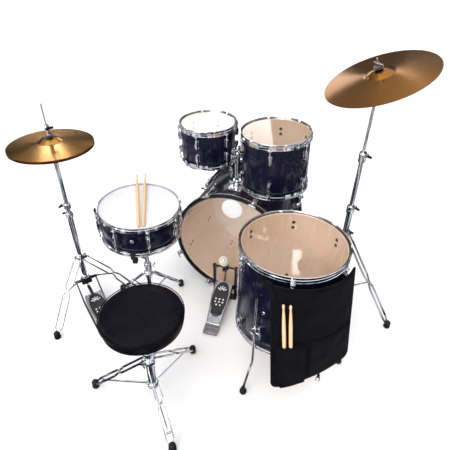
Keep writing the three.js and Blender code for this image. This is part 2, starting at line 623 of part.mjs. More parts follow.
// The kick pedal, built about its axle: +Y towards the drum
function addKickPedal(kit) {
  const group = groupAt(kit, KICK.x, KICK.y, 0, KICK.turn);
  const { axle, heel, hinge, postSide } = KICK;
  const posts = [-1, 1].flatMap((s) => [
    box(12, 26, axle + 10, s * postSide, 0, (axle + 10) / 2),
    rod(point(s * 50, 0, axle), point(s * 66, 0, axle), 11, 8),
  ]);
  const bores = rod(point(-70, 0, axle), point(70, 0, axle), 6, 8);
  const heelPlate = box(2 * KICK.heelHalf, hinge - heel, 22, 0, (hinge + heel) / 2, 11);
  const floorStrip = box(34, 262, 5, 0, hinge / 2 - 10, 2.5);
  const clamp = [box(58, 34, 24, 0, 36, 12), box(40, 26, 8, 0, 55, 22)];
  const plates = [box(126, 40, 8, 0, 2, 4), floorStrip, heelPlate, clamp];
  add(group, 'kick_pedal_base', cut(join(posts, plates), bores), BLACK_PLASTIC);
  const toe = point(0, -16, 118);
  const board = bar(point(0, hinge + 3, 26), toe, 7, 2 * KICK.boardHalf, 90);
  add(group, 'kick_pedal_footboard', join(board), ALUMINIUM);
  const lean = radians(90 + KICK.beaterLean);
  const reach = (length) =>
    point(KICK.beaterSide, length * Math.cos(lean), axle + length * Math.sin(lean));
  const shaft = rod(reach(0), reach(KICK.beaterLength + 20), 4, 8);
  const face = point(0, Math.sin(lean), -Math.cos(lean));
  const felt = reach(KICK.beaterLength).addScaledVector(face, -20);
  const beater = along(disc(22, 40, 12), felt, felt.clone().add(face));
  const axleRod = rod(point(-62, 0, axle), point(62, 0, axle), 5, 8);
  const cam = along(disc(26, 18, 12), point(-9, 0, axle), point(9, 0, axle));
  add(group, 'kick_pedal_beater', join(shaft, beater, axleRod, cam), CHROME);
}

// The stick bag's cloth at a share of its width and height, standing out from its back
function bagPoint(across, up, out) {
  const top = polar(BAG.radius - BAG.thick + out, BAG.from + (BAG.to - BAG.from) * across, BAG.top);
  const side = (2 * across - 1) * BAG.halfWidth;
  const flat = BAG.flat - BAG.thick + out - (side * side) / (2 * BAG.bow);
  const bottom = polar(flat, BAG.facing, BAG.bottom).add(polar(side + BAG.shift, BAG.facing + 90));
  return bottom.lerp(top, up).add(point(FLOOR_TOM.place[0], FLOOR_TOM.place[1], 0));
}

function addStickBag(kit) {
  const cloth = new THREE.BoxGeometry(1, 1, 1, 12, 1, 4);
  const places = cloth.attributes.position;
  for (let i = 0; i < places.count; i += 1) {
    const place = bagPoint(places.getX(i) + 0.5, places.getZ(i) + 0.5, BAG.thick * (0.5 - places.getY(i)));
    places.setXYZ(i, ...place.toArray());
  }
  add(kit, 'stick_bag', cloth, CLOTH);
  const stickOut = BAG.thick + STICK.radius + BAG.stickOff;
  BAG.sticks.forEach((across, i) => {
    const low = bagPoint(across, 0, stickOut);
    const high = bagPoint(across, 1, stickOut);
    const start = low.clone().lerp(high, BAG.stickLow);
    add(kit, `bag_stick_${i + 1}`, along(stick(), start, high), HICKORY);
  });
}

const kit = new THREE.Group();
addBassDrum(kit);
addTomHolder(kit);
addDrum(kit, TOM_1, COATED_FILM, drumShell(TOM_1, tomBracket(TOM_1, 1, ARM_HEIGHTS[0])));
addDrum(kit, TOM_2, CLEAR_FILM, drumShell(TOM_2, tomBracket(TOM_2, -1, ARM_HEIGHTS[1])));
addFloorTom(kit);
addSnareStand(kit, addSnare(kit));
addHiHat(kit);
addCrash(kit);
addThrone(kit);
addKickPedal(kit);
addStickBag(kit);

// The origin goes to the middle of the covered floor
const extent = new THREE.Box3().setFromObject(kit);
const middle = extent.getCenter(new THREE.Vector3());
kit.position.set(-middle.x, -middle.y, -extent.min.z);

export default kit;
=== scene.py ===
"""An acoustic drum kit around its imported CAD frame: the looks of every drum, stand, pedal and cymbal."""
import bpy
import bmesh
import math
from mathutils import Matrix, Vector, noise


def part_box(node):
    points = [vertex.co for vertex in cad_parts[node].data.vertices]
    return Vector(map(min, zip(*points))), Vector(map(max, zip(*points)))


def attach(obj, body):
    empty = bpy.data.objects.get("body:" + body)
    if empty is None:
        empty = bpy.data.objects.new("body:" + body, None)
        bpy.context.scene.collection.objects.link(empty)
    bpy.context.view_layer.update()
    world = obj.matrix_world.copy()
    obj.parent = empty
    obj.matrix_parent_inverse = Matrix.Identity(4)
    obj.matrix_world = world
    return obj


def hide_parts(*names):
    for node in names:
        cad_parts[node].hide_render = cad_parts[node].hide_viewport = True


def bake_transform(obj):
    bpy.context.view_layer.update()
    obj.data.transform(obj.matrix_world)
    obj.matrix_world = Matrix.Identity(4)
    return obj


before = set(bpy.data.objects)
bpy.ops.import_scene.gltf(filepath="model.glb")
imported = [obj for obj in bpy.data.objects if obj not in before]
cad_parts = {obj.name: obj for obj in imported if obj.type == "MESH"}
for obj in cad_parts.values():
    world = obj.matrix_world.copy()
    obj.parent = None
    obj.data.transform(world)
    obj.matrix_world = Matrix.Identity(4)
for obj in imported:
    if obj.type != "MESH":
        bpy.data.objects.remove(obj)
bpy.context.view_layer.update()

MM = 0.001
INCH = 25.4
TAU = 2 * math.pi
shell_low, shell_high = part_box("bass_shell")
ORIGIN = Vector(((shell_low[0] + shell_high[0]) / 2, shell_low[1] - 13 * MM, 0))


def place(x, y, z, *turns):
    """A frame at a kit position in mm, turned by (degrees, axis) in order."""
    matrix = Matrix.Translation(ORIGIN + Vector((x, y, z)) * MM)
    for degrees, axis in turns:
        matrix = matrix @ Matrix.Rotation(math.radians(degrees), 4, axis)
    return matrix


def polar(r, azimuth, z=0.0):
    """A point at a distance and azimuth in degrees about Z."""
    a = math.radians(azimuth)
    return Vector((r * math.cos(a), r * math.sin(a), z))


# Where the drums and stands are, in kit millimetres
TOM1_AT, TOM2_AT, FLOOR_TOM_AT = (-157, 125, 902), (169, 123, 902), (367, -318, 658)
SNARE_AT, SNARE_TILT = (-354, -228.5, 606.5), (1.7, 2.2)
BASS_AXIS = 297
POST_X, POST_Y, ARM_HEIGHTS, ARM_COLLAR = -5, 122, (757, 787), 19.5
CRASH_AT, HAT_AT = (546, 98, 0), (-715, -284, 0)
THRONE_AT, SNARE_STAND_AT = (-83, -701, 0), (-352, -226, 0)


# ---------------------------------------------------------------- materials
def shader(name, color, roughness, metallic=0.0, **sockets):
    material = bpy.data.materials.new(name)
    material.use_nodes = True
    tree = material.node_tree
    bsdf = tree.nodes["Principled BSDF"]
    bsdf.inputs["Base Color"].default_value = (*color, 1)
    bsdf.inputs["Roughness"].default_value = roughness
    bsdf.inputs["Metallic"].default_value = metallic
    for key, value in sockets.items():
        bsdf.inputs[key.replace("_", " ")].default_value = value
    material.diffuse_color = (*color, 1)
    return material, tree, bsdf


def node(tree, kind, **values):
    """A new node, with each value given to its socket or its property of that name."""
    made = tree.nodes.new(kind)
    for key, value in values.items():
        if key in made.inputs:
            made.inputs[key].default_value = value
        else:
            setattr(made, key, value)
    return made


def noise_of(tree, scale, detail=3.0, stretch=(1, 1, 1), source="Object"):
    where = node(tree, "ShaderNodeTexCoord")
    mapping = node(tree, "ShaderNodeMapping")
    mapping.inputs["Scale"].default_value = stretch
    tree.links.new(where.outputs[source], mapping.inputs["Vector"])
    texture = node(tree, "ShaderNodeTexNoise", Scale=scale, Detail=detail)
    tree.links.new(mapping.outputs["Vector"], texture.inputs["Vector"])
    return texture.outputs["Fac"]


def spread(tree, factor, low, high, start=0.3, end=0.7):
    """A number that runs from low to high as factor runs from start to end."""
    ranged = node(tree, "ShaderNodeMapRange")
    for key, value in (("From Min", start), ("From Max", end), ("To Min", low), ("To Max", high)):
        ranged.inputs[key].default_value = value
    tree.links.new(factor, ranged.inputs["Value"])
    return ranged.outputs["Result"]


def blend_colors(tree, factor, first, second, start=0.3, end=0.7):
    """A colour that runs from first to second as factor runs from start to end."""
    ramp = node(tree, "ShaderNodeValToRGB")
    ramp.color_ramp.elements[0].position = start
    ramp.color_ramp.elements[0].color = (*first, 1)
    ramp.color_ramp.elements[1].position = end
    ramp.color_ramp.elements[1].color = (*second, 1)
    tree.links.new(factor, ramp.inputs["Fac"])
    return ramp.outputs["Color"]


def bump(tree, bsdf, height, distance, strength=1.0):
    bumped = node(tree, "ShaderNodeBump", Strength=strength, Distance=distance)
    tree.links.new(height, bumped.inputs["Height"])
    tree.links.new(bumped.outputs["Normal"], bsdf.inputs["Normal"])


def worn(name, color, other, roughness, metallic=0.0, scale=60.0, relief=0.0, grain=900.0, **sockets):
    """A material whose colour and roughness wander a little, with an optional fine grain."""
    material, tree, bsdf = shader(name, color, roughness, metallic, **sockets)
    cloud = noise_of(tree, scale)
    tree.links.new(blend_colors(tree, cloud, color, other), bsdf.inputs["Base Color"])
    tree.links.new(spread(tree, cloud, roughness * 0.75, roughness * 1.3), bsdf.inputs["Roughness"])
    if relief:
        bump(tree, bsdf, noise_of(tree, grain, 2.0), relief)
    return material


def lathed_bronze(name, dark, light_):
    """Cymbal bronze: fine turned grooves about the piece's Z axis, which stretch highlights into wedges."""
    material, tree, bsdf = shader(name, light_, 0.3, 1.0, Anisotropic=0.8, Anisotropic_Rotation=0.25)
    tangent = node(tree, "ShaderNodeTangent", direction_type="RADIAL", axis="Z")
    tree.links.new(tangent.outputs["Tangent"], bsdf.inputs["Tangent"])
    where = node(tree, "ShaderNodeTexCoord")
    flat = node(tree, "ShaderNodeVectorMath", operation="MULTIPLY")
    flat.inputs[1].default_value = (1, 1, 0)
    tree.links.new(where.outputs["Object"], flat.inputs[0])
    radius = node(tree, "ShaderNodeVectorMath", operation="LENGTH")
    tree.links.new(flat.outputs["Vector"], radius.inputs[0])
    bands = node(tree, "ShaderNodeTexNoise", noise_dimensions="1D", Scale=420.0, Detail=4.0)
    tree.links.new(radius.outputs["Value"], bands.inputs["W"])
    tree.links.new(
        blend_colors(tree, bands.outputs["Fac"], dark, light_),
        bsdf.inputs["Base Color"],
    )
    tree.links.new(spread(tree, bands.outputs["Fac"], 0.19, 0.26), bsdf.inputs["Roughness"])
    grooves = node(tree, "ShaderNodeTexNoise", noise_dimensions="1D", Scale=1500.0, Detail=1.0)
    tree.links.new(radius.outputs["Value"], grooves.inputs["W"])
    bump(tree, bsdf, grooves.outputs["Fac"], 0.00004, 0.2)
    return material


def grained_wood(name, light, dark, roughness, stretch, **sockets):
    """Wood whose grain runs along the axis that stretch shrinks."""
    material, tree, bsdf = shader(name, light, roughness, 0.0, **sockets)
    grain = noise_of(tree, 60.0, 6.0, stretch)
    tree.links.new(blend_colors(tree, grain, dark, light, 0.25, 0.75), bsdf.inputs["Base Color"])
    tree.links.new(spread(tree, grain, roughness * 1.2, roughness * 0.8), bsdf.inputs["Roughness"])
    bump(tree, bsdf, grain, 0.0002, 0.4)
    return material


def clear_film(name, haze, tint, mirror=0.85):
    """Polyester film: clear face on with a faint haze, and a mirror at a glance (Schlick's formula)."""
    material, tree, bsdf = shader(name, tint, 0.06, mirror)
    glance = node(tree, "ShaderNodeLayerWeight", Blend=0.5)
    steep = node(tree, "ShaderNodeMath", operation="POWER")
    tree.links.new(glance.outputs["Facing"], steep.inputs[0])
    steep.inputs[1].default_value = 5.0
    cloud = noise_of(tree, 9.0, 2.0)
    share = node(tree, "ShaderNodeMath", operation="ADD", use_clamp=True)
    tree.links.new(steep.outputs["Value"], share.inputs[0])
    tree.links.new(spread(tree, cloud, haze * 0.85, haze * 1.15), share.inputs[1])
    tree.links.new(share.outputs["Value"], bsdf.inputs["Alpha"])
    bump(tree, bsdf, cloud, 0.0005, 0.06)
    return material


def woven(name, color, other, pitch, relief):
    """Woven nylon: two crossed sets of threads."""
    material, tree, bsdf = shader(name, color, 0.85, 0.0, Specular_IOR_Level=0.05, Sheen_Weight=0.01)
    where = node(tree, "ShaderNodeTexCoord")
    heights = []
    for axis in ("X", "Z"):
        wave = node(tree, "ShaderNodeTexWave", wave_type="BANDS", bands_direction=axis, Scale=1 / pitch)
        wave.inputs["Distortion"].default_value = 0.6
        tree.links.new(where.outputs["Object"], wave.inputs["Vector"])
        heights.append(wave.outputs["Fac"])
    product = node(tree, "ShaderNodeMath", operation="MULTIPLY")
    tree.links.new(heights[0], product.inputs[0])
    tree.links.new(heights[1], product.inputs[1])
    cloud = noise_of(tree, 14.0)
    tree.links.new(blend_colors(tree, cloud, color, other), bsdf.inputs["Base Color"])
    bump(tree, bsdf, product.outputs["Value"], relief, 0.6)
    return material


CHROME = worn("chrome", (0.66, 0.67, 0.71), (0.58, 0.59, 0.63), 0.06, 1.0, 30.0)
CHROME_DULL = worn("chrome_dull", (0.62, 0.63, 0.65), (0.5, 0.51, 0.53), 0.2, 1.0, 45.0, 0.0002, 700.0)
LACQUER = worn(
    "lacquer", (0.003, 0.0035, 0.014), (0.006, 0.0065, 0.021), 0.25, 0.0, 8.0, Specular_IOR_Level=0.1,
    Coat_Weight=0.32, Coat_Roughness=0.02
)
HOOP_LACQUER = worn(
    "hoop_lacquer", (0.008, 0.008, 0.013), (0.014, 0.014, 0.02), 0.2, 0.0, 12.0, Specular_IOR_Level=0.1,
    Coat_Weight=0.35, Coat_Roughness=0.03
)
INLAY = worn("inlay", (0.55, 0.55, 0.58), (0.42, 0.42, 0.46), 0.25, 0.6, 80.0)
SHELL_WOOD = grained_wood(
    "shell_wood", (0.84, 0.64, 0.47), (0.74, 0.53, 0.37), 0.26, (1, 1, 0.12), Coat_Weight=0.6,
    Coat_Roughness=0.08
)
BASS_WOOD = grained_wood(
    "bass_wood", (0.90, 0.68, 0.50), (0.80, 0.58, 0.41), 0.3, (1, 1, 0.12), Coat_Weight=0.4,
    Coat_Roughness=0.12
)
CLEAR = clear_film("clear_film", 0.05, (0.93, 0.92, 0.91))
HAZY = clear_film("hazy_film", 0.09, (0.95, 0.95, 0.96))
CLEAR_BASS = clear_film("clear_film_bass", 0.16, (0.97, 0.80, 0.66), 0.1)
FRONT_FILM = worn("front_film", (0.94, 0.85, 0.78), (0.92, 0.83, 0.76), 0.62, 0.0, 12.0, 0.00006, 2600.0)
COATED = worn("coated_film", (0.74, 0.74, 0.78), (0.69, 0.69, 0.74), 0.62, 0.0, 25.0, 0.00006, 2600.0)
FLESH_HOOP = worn("flesh_hoop", (0.62, 0.62, 0.63), (0.5, 0.5, 0.52), 0.3, 1.0, 40.0)
BRONZE = lathed_bronze("bronze", (0.20, 0.085, 0.016), (0.28, 0.125, 0.026))
HAT_BRONZE = lathed_bronze("hat_bronze", (0.34, 0.165, 0.038), (0.46, 0.235, 0.062))
RUBBER = worn(
    "rubber", (0.006, 0.006, 0.007), (0.011, 0.011, 0.012), 0.6, 0.0, 70.0, 0.0001, 1400.0,
    Specular_IOR_Level=0.3
)
BLACK_METAL = worn(
    "black_metal", (0.007, 0.007, 0.009), (0.012, 0.012, 0.014), 0.36, 0.0, 55.0, 0.00005, 1600.0,
    Specular_IOR_Level=0.35
)
BLACK_FELT = worn(
    "black_felt", (0.012, 0.012, 0.013), (0.03, 0.03, 0.032), 0.95, 0.0, 240.0, 0.0006, 700.0,
    Sheen_Weight=0.5
)
CREAM_FELT = worn(
    "cream_felt", (0.72, 0.66, 0.54), (0.6, 0.54, 0.43), 0.95, 0.0, 260.0, 0.0007, 600.0, Sheen_Weight=0.4
)
VINYL = worn(
    "vinyl", (0.0022, 0.0018, 0.0045), (0.0045, 0.0038, 0.0075), 0.36, 0.0, 20.0, 0.0002, 520.0,
    Specular_IOR_Level=0.07
)
VINYL_SIDE = worn(
    "vinyl_side", (0.0022, 0.0020, 0.004), (0.0045, 0.004, 0.0065), 0.48, 0.0, 20.0, 0.0002, 520.0,
    Specular_IOR_Level=0.07
)
NYLON = woven("nylon", (0.0022, 0.0022, 0.003), (0.0045, 0.0045, 0.006), 0.0035, 0.0003)
WEBBING = woven("webbing", (0.003, 0.003, 0.004), (0.007, 0.007, 0.008), 0.002, 0.0004)
HICKORY = grained_wood(
    "hickory", (0.80, 0.55, 0.30), (0.66, 0.41, 0.20), 0.42, (1, 1, 0.05), Coat_Weight=0.25
)
MAPLE = grained_wood("maple", (0.80, 0.58, 0.35), (0.68, 0.45, 0.24), 0.45, (1, 1, 0.05), Coat_Weight=0.2)
CAST = worn("cast_aluminium", (0.31, 0.31, 0.33), (0.24, 0.24, 0.26), 0.34, 1.0, 35.0, 0.0001, 900.0)
WHITE_DISC = worn("white_disc", (0.80, 0.80, 0.79), (0.74, 0.74, 0.73), 0.5, 0.0, 40.0, 0.00005, 1200.0)


# ---------------------------------------------------------------- shapes: (vertices, faces) in millimetres
def revolve(profile, sides=96, closed=True):
    """Turns (radius, height) points about Z. A closed profile joins its last point to its first."""
    verts, rings = [], []
    for r, z in profile:
        if r < 1e-6:
            rings.append([len(verts)] * sides)
            verts.append(Vector((0, 0, z)))
            continue
        rings.append(list(range(len(verts), len(verts) + sides)))
        verts += [
            Vector((r * math.cos(TAU * k / sides), r * math.sin(TAU * k / sides), z)) for k in range(sides)
        ]
    faces = []
    pairs = list(zip(rings, rings[1:])) + ([(rings[-1], rings[0])] if closed else [])
    for a, b in pairs:
        for k in range(sides):
            corners = [a[k], a[(k + 1) % sides], b[(k + 1) % sides], b[k]]
            corners = list(dict.fromkeys(corners))
            if len(corners) > 2:
                faces.append(corners)
    return verts, faces


def pole(profile, sides=48):
    """A turned solid whose profile starts and ends on the axis."""
    return revolve(profile, sides, closed=False)


def moved(shape, matrix):
    return [matrix @ v for v in shape[0]], shape[1]


def turned(shape, azimuth):
    return moved(shape, Matrix.Rotation(math.radians(azimuth), 4, "Z"))


def shifted(shape, x, y, z):
    return moved(shape, Matrix.Translation((x, y, z)))


def block(width, depth, height, bevel=1.0, x=0.0, y=0.0, z=0.0, taper=1.0):
    """A box with rounded edges; its top is taper times as wide as its bottom."""
    bm = bmesh.new()
    bmesh.ops.create_cube(bm, size=1.0)
    for v in bm.verts:
        share = taper if v.co.z > 0 else 1.0
        v.co = Vector((v.co.x * width * share, v.co.y * depth * share, v.co.z * height))
    if bevel:
        bmesh.ops.bevel(bm, geom=bm.edges[:], offset=bevel, segments=2, profile=0.6, affect="EDGES")
    bm.verts.index_update()
    verts = [v.co + Vector((x, y, z)) for v in bm.verts]
    faces = [[v.index for v in f.verts] for f in bm.faces]
    bm.free()
    return verts, faces


def along(shape, start, end):
    """Turns a shape that stands on the origin along +Z so that it runs from start towards end."""
    turn = (end - start).normalized().to_track_quat("Z", "Y").to_matrix().to_4x4()
    return moved(shape, Matrix.Translation(start) @ turn)


def rod(start, end, radius, sides=20, edge=None):
    """A round bar with softened ends."""
    length = (end - start).length
    edge = min(radius * 0.25, 1.5) if edge is None else edge
    profile = [
        (0, 0), (radius - edge, 0), (radius, edge), (radius, length - edge), (radius - edge, length),
        (0, length)
    ]
    return along(pole(profile, sides), start, end)


def tube(points, radius, sides=12, closed=False):
    """A round tube through points; radius is a number or one for each point."""
    radii = radius if isinstance(radius, (list, tuple)) else [radius] * len(points)
    count = len(points)
    verts, faces = [], []
    normal = None
    for i, p in enumerate(points):
        ahead = points[(i + 1) % count] if closed or i < count - 1 else p
        behind = points[i - 1] if closed or i > 0 else p
        tangent = (ahead - behind).normalized()
        if normal is None:
            normal = tangent.orthogonal().normalized()
        normal = (normal - tangent * normal.dot(tangent)).normalized()
        side = tangent.cross(normal)
        for k in range(sides):
            a = TAU * k / sides
            verts.append(p + (normal * math.cos(a) + side * math.sin(a)) * radii[i])
    rows = count if closed else count - 1
    for i in range(rows):
        for k in range(sides):
            a, b = i * sides, ((i + 1) % count) * sides
            faces.append([a + k, a + (k + 1) % sides, b + (k + 1) % sides, b + k])
    if not closed:
        faces.append(list(range(sides))[::-1])
        faces.append([(count - 1) * sides + k for k in range(sides)])
    return verts, faces


def smooth_path(points, steps=8):
    """A Catmull-Rom curve through points."""
    points = [Vector(p) for p in points]
    padded = [2 * points[0] - points[1], *points, 2 * points[-1] - points[-2]]
    path = []
    for a, b, c, d in zip(padded, padded[1:], padded[2:], padded[3:]):
        for k in range(steps):
            t = k / steps
            path.append(0.5 * (
                (2 * b) + (c - a) * t + (2 * a - 5 * b + 4 * c - d) * t * t
                + (3 * b - a - 3 * c + d) * t ** 3
            ))
    return [*path, points[-1]]


def bar(start, end, width, thickness, azimuth, bevel=0.8):
    """A flat bar on its edge, its width square to the azimuth it runs out on."""
    length = (end - start).length
    out = polar(1, azimuth)
    side = Vector((-out.y, out.x, 0))
    direction = (end - start).normalized()
    across = side.cross(direction).normalized()
    basis = Matrix((side, across, direction)).transposed().to_4x4()
    return moved(block(thickness, width, length, bevel, z=length / 2), Matrix.Translation(start) @ basis)


def wing(radius, z, azimuth, length=17):
    """A wing screw that stands out of a collar."""
    shapes = [rod(polar(radius - 2, azimuth, z), polar(radius + length * 0.6, azimuth, z), 4.2, 16)]
    for s in (-1, 1):
        ear = block(5, 15, 11, 2.2, y=s * 10.5)
        ear = moved(ear, Matrix.Rotation(math.radians(-20 * s), 4, "Z"))
        shapes.append(turned(shifted(ear, radius + length * 0.62, 0, z), azimuth))
    shapes.append(turned(block(7, 13, 12, 2.5, radius + length * 0.6, 0, z), azimuth))
    return shapes


class Piece:
    """A piece under construction, in millimetres in its own frame."""

    def __init__(self, name, where, *materials):
        self.name, self.where, self.materials = name, where, list(materials)
        self.verts, self.faces, self.slots = [], [], []

    def add(self, shapes, material=0):
        if isinstance(shapes, tuple):
            shapes = [shapes]
        for verts, faces in shapes:
            base = len(self.verts)
            self.verts += verts
            self.faces += [[base + i for i in f] for f in faces]
            self.slots += [material] * len(faces)
        return self

    def done(self, body, slot, *nodes, angle=38):
        mesh = bpy.data.meshes.new(self.name)
        mesh.from_pydata([v * MM for v in self.verts], [], self.faces)
        for material in self.materials:
            mesh.materials.append(material)
        mesh.polygons.foreach_set("material_index", self.slots)
        bm = bmesh.new()
        bm.from_mesh(mesh)
        bmesh.ops.recalc_face_normals(bm, faces=bm.faces[:])
        bm.to_mesh(mesh)
        bm.free()
        mesh.polygons.foreach_set("use_smooth", [True] * len(mesh.polygons))
        mesh.set_sharp_from_angle(angle=math.radians(angle))
        made = bpy.data.objects.new(self.name, mesh)
        bpy.context.scene.collection.objects.link(made)
        made.matrix_world = self.where
        bpy.context.view_layer.update()
        if body:
            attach(made, body)
        if nodes:
            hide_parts(*nodes)
        return made


# ---------------------------------------------------------------- drums with metal hoops
RISE = 8.3  # bead of the hoop above the shell


def drum_height(depth):
    """The height of a drum from the bead of one hoop to the bead of the other."""
    return depth + 2 * RISE


def lug_azimuths(first, count, flipped=False):
    return [(-1 if flipped else 1) * (first + 360 / count * k) for k in range(count)]


def hoop_profile(r):
    """The section of a triple-flanged hoop about a shell of radius r, down from its bead."""
    return [
        (r + 3, -27), (r + 3, -2.2), (r + 3.6, -0.7), (r + 5, 0), (r + 6.5, -0.6), (r + 7, -2),
        (r + 6.4, -3.5), (r + 5, -4.2), (r + 4.6, -5.5), (r + 4.6, -12), (r + 6, -13), (r + 6.2, -14.4),
        (r + 6, -15.8), (r + 4.6, -16.8), (r + 4.6, -24.2), (r + 6.6, -25), (r + 6.6, -27)
    ]


def tension_rod(r, azimuth, end):
    """A square-headed key rod with its washer, and the hoop's ear that it passes through."""
    x = r + 11
    shapes = [block(14.5, 16, 2.6, 0.9, r + 10.8, 0, -25.4)]
    shapes.append(shifted(pole([(0, 0), (6.4, 0), (6.4, 1.3), (5.8, 1.8), (0, 1.8)], 20), x, 0, -24.1))
    shapes.append(shifted(pole([(0, 0), (4.8, 0), (4.8, 3), (3.4, 4), (0, 4)], 16), x, 0, -22.4))
    shapes.append(block(5.4, 5.4, 8, 0.8, x, 0, -15.2))
    shapes.append(rod(Vector((x, 0, -23)), Vector((x, 0, end)), 3, 10))
    return [turned(s, azimuth) for s in shapes]


def lug(r, azimuth, middle, length, width=14):
    """A cast lug: a foot plate on the shell, a tapered body and the swivel nut's collar."""
    body = block(length, width, 15, 3.0, taper=0.82)
    body = moved(body, Matrix.Translation((r + 10.5, 0, middle)) @ Matrix.Rotation(math.pi / 2, 4, "Y"))
    shapes = [block(4, width + 3, length + 5, 1.4, r + 1.8, 0, middle), body]
    for s in (-1, 1):
        shapes.append(shifted(pole([(0, 0), (4.6, 0), (5.4, 1), (5.4, 6), (4.6, 7), (0, 7)], 16), r + 11, 0,
                              middle + s * length / 2 - 3.5))
    return [turned(s, azimuth) for s in shapes]


def shell_screws(r, azimuth, heights):
    """Round screw heads and washers inside the shell."""
    shapes = []
    for z in heights:
        head = pole([(0, 0), (7.6, 0), (7.6, 1), (6, 1.6), (5.2, 3.8), (2.4, 4.6), (0, 4.6)], 16)
        head = moved(head, Matrix.Translation((r, 0, z)) @ Matrix.Rotation(-math.pi / 2, 4, "Y"))
        shapes.append(turned(head, azimuth))
    return shapes


def head_film(r):
    """A head's film with its collar, and its flat top face 7 mm below the hoop's bead."""
    top = [
        (0, -7), (r - 9, -7), (r - 4, -7.2), (r - 0.5, -7.7), (r + 0.9, -8.4), (r + 1.9, -10),
        (r + 2.1, -14)
    ]
    under = [
        (r + 1.8, -14), (r + 1.6, -10.2), (r + 0.7, -8.8), (r - 0.6, -8.1), (r - 4, -7.6), (r - 9, -7.4),
        (0, -7.4)
    ]
    return top + under


def metal_drum(name, body, inches, depth_inches, lugs, first, length, drop, spot, tilt, film):
    """A drum with metal hoops: its shell, then for each side film, flesh hoop, hoop and rods."""
    r, depth = inches * INCH / 2, depth_inches * INCH
    where = place(*spot, (tilt[0], "X"), (tilt[1], "Y"))
    height = drum_height(depth)
    under = where @ Matrix.Translation((0, 0, -height * MM)) @ Matrix.Rotation(math.pi, 4, "X")
    low, high = -RISE - depth, -RISE
    shell = Piece(f"{name}_shell_finish", where, LACQUER, SHELL_WOOD, CHROME, BLACK_METAL)
    shell.add(revolve(
        [
            (r - 3.6, high), (r - 1, high - 1.6), (r, high - 3.4), (r, low + 3.4), (r - 1, low + 1.6),
            (r - 3.6, low)
        ],
        128, False
    ))
    shell.add(
        revolve([(r - 3.6, low), (r - 6, low + 2.4), (r - 6, high - 2.4), (r - 3.6, high)], 128, False), 1
    )
    single = 2 * drop > height - length
    for azimuth in lug_azimuths(first, lugs):
        middles = [-height / 2] if single else [-drop, -height + drop]
        for middle in middles:
            shell.add(lug(r, azimuth, middle, length), 2)
            shell.add(shell_screws(r - 5.8, azimuth, (middle - 13, middle + 13)), 3)
    finish_drum(name, shell, r)
    weld(shell.done(body, "black_lacquer", f"{name}_shell"))
    for side, flip, matrix in (("top", False, where), ("bottom", True, under)):
        clear = film is not COATED or flip
        head = Piece(f"{name}_{side}_film", matrix, CLEAR if flip else film)
        head.add(pole(head_film(r), 128))
        head.done(body, "clear_film" if clear else "coated_film", f"{name}_{side}_head")
        ring = Piece(f"{name}_{side}_flesh_hoop", matrix, FLESH_HOOP)
        ring.add(revolve(
            [(r + 0.7, -19), (r + 2.7, -19), (r + 2.7, -12.5), (r + 2.3, -12), (r + 0.7, -14.5)], 96
        ))
        ring.done(body, "aluminium")
        hoop = Piece(f"{name}_{side}_flanged_hoop", matrix, CHROME)
        hoop.add(revolve(hoop_profile(r), 128))
        for azimuth in lug_azimuths(first, lugs, flip):
            hoop.add(tension_rod(
                r, azimuth, -drop + length / 2 + 2 if not single else -height / 2 + length / 2
            ))
        hoop.done(body, "chrome", f"{name}_{side}_hoop")


def weld(made):
    """Joins a piece's coincident edges."""
    bm = bmesh.new()
    bm.from_mesh(made.data)
    bmesh.ops.remove_doubles(bm, verts=bm.verts[:], dist=0.00002)
    bmesh.ops.recalc_face_normals(bm, faces=bm.faces[:])
    bm.to_mesh(made.data)
    bm.free()
    made.data.set_sharp_from_angle(angle=math.radians(38))


def grommet(r, azimuth, z):
    """The ring of an air hole."""
    ring = revolve([(4, 0), (8.5, 0), (9, 0.8), (7.5, 2), (4.5, 2), (3.6, 1)], 24)
    ring = moved(ring, Matrix.Translation((r - 0.3, 0, z)) @ Matrix.Rotation(math.pi / 2, 4, "Y"))
    return turned(ring, azimuth)


def finish_drum(name, shell, r):
    """The fittings that each drum has of its own."""
    if name == "snare":
        shell.add(grommet(r, -72, -76), 2)
        shell.add(strainer(r), 2)
    elif name == "floor_tom":
        shell.add(grommet(r, -105, -215), 2)
        for azimuth in FLOOR_LEGS:
            shell.add(leg_bracket(azimuth), 2)
    elif name == "tom1":
        reach = POST_X - TOM1_AT[0] - ARM_COLLAR
        shell.add(tom_bracket(r, 1, reach, ARM_HEIGHTS[0] - TOM1_AT[2], POST_Y - TOM1_AT[1]), 2)
    elif name == "tom2":
        reach = TOM2_AT[0] - POST_X - ARM_COLLAR
        shell.add(tom_bracket(r, -1, reach, ARM_HEIGHTS[1] - TOM2_AT[2], POST_Y - TOM2_AT[1]), 2)


def strainer(r):
    """The throw-off's housing on one side of the snare drum and the butt plate on the other."""
    shapes = [turned(block(21, 32, 50, 3, r + 10.5, 0, -78), -160)]
    shapes.append(turned(block(24, 10, 30, 2, r + 11, 0, -98), -160))
    shapes.append(turned(rod(Vector((r + 12, 0, -52)), Vector((r + 12, 0, -40)), 6.5, 18), -160))
    shapes.append(turned(block(12, 32, 38, 3, r + 5, 0, -78), 20))
    for s in (-1, 1):
        shapes.append(turned(rod(Vector((r + 8, s * 9, -78)), Vector((r + 13.5, s * 9, -78)), 4, 12), 20))
    return shapes


FLOOR_LEGS = (-111, 9, 129)
LEG_R, LEG_TOP, LEG_CLAMP = 218, 517, 343


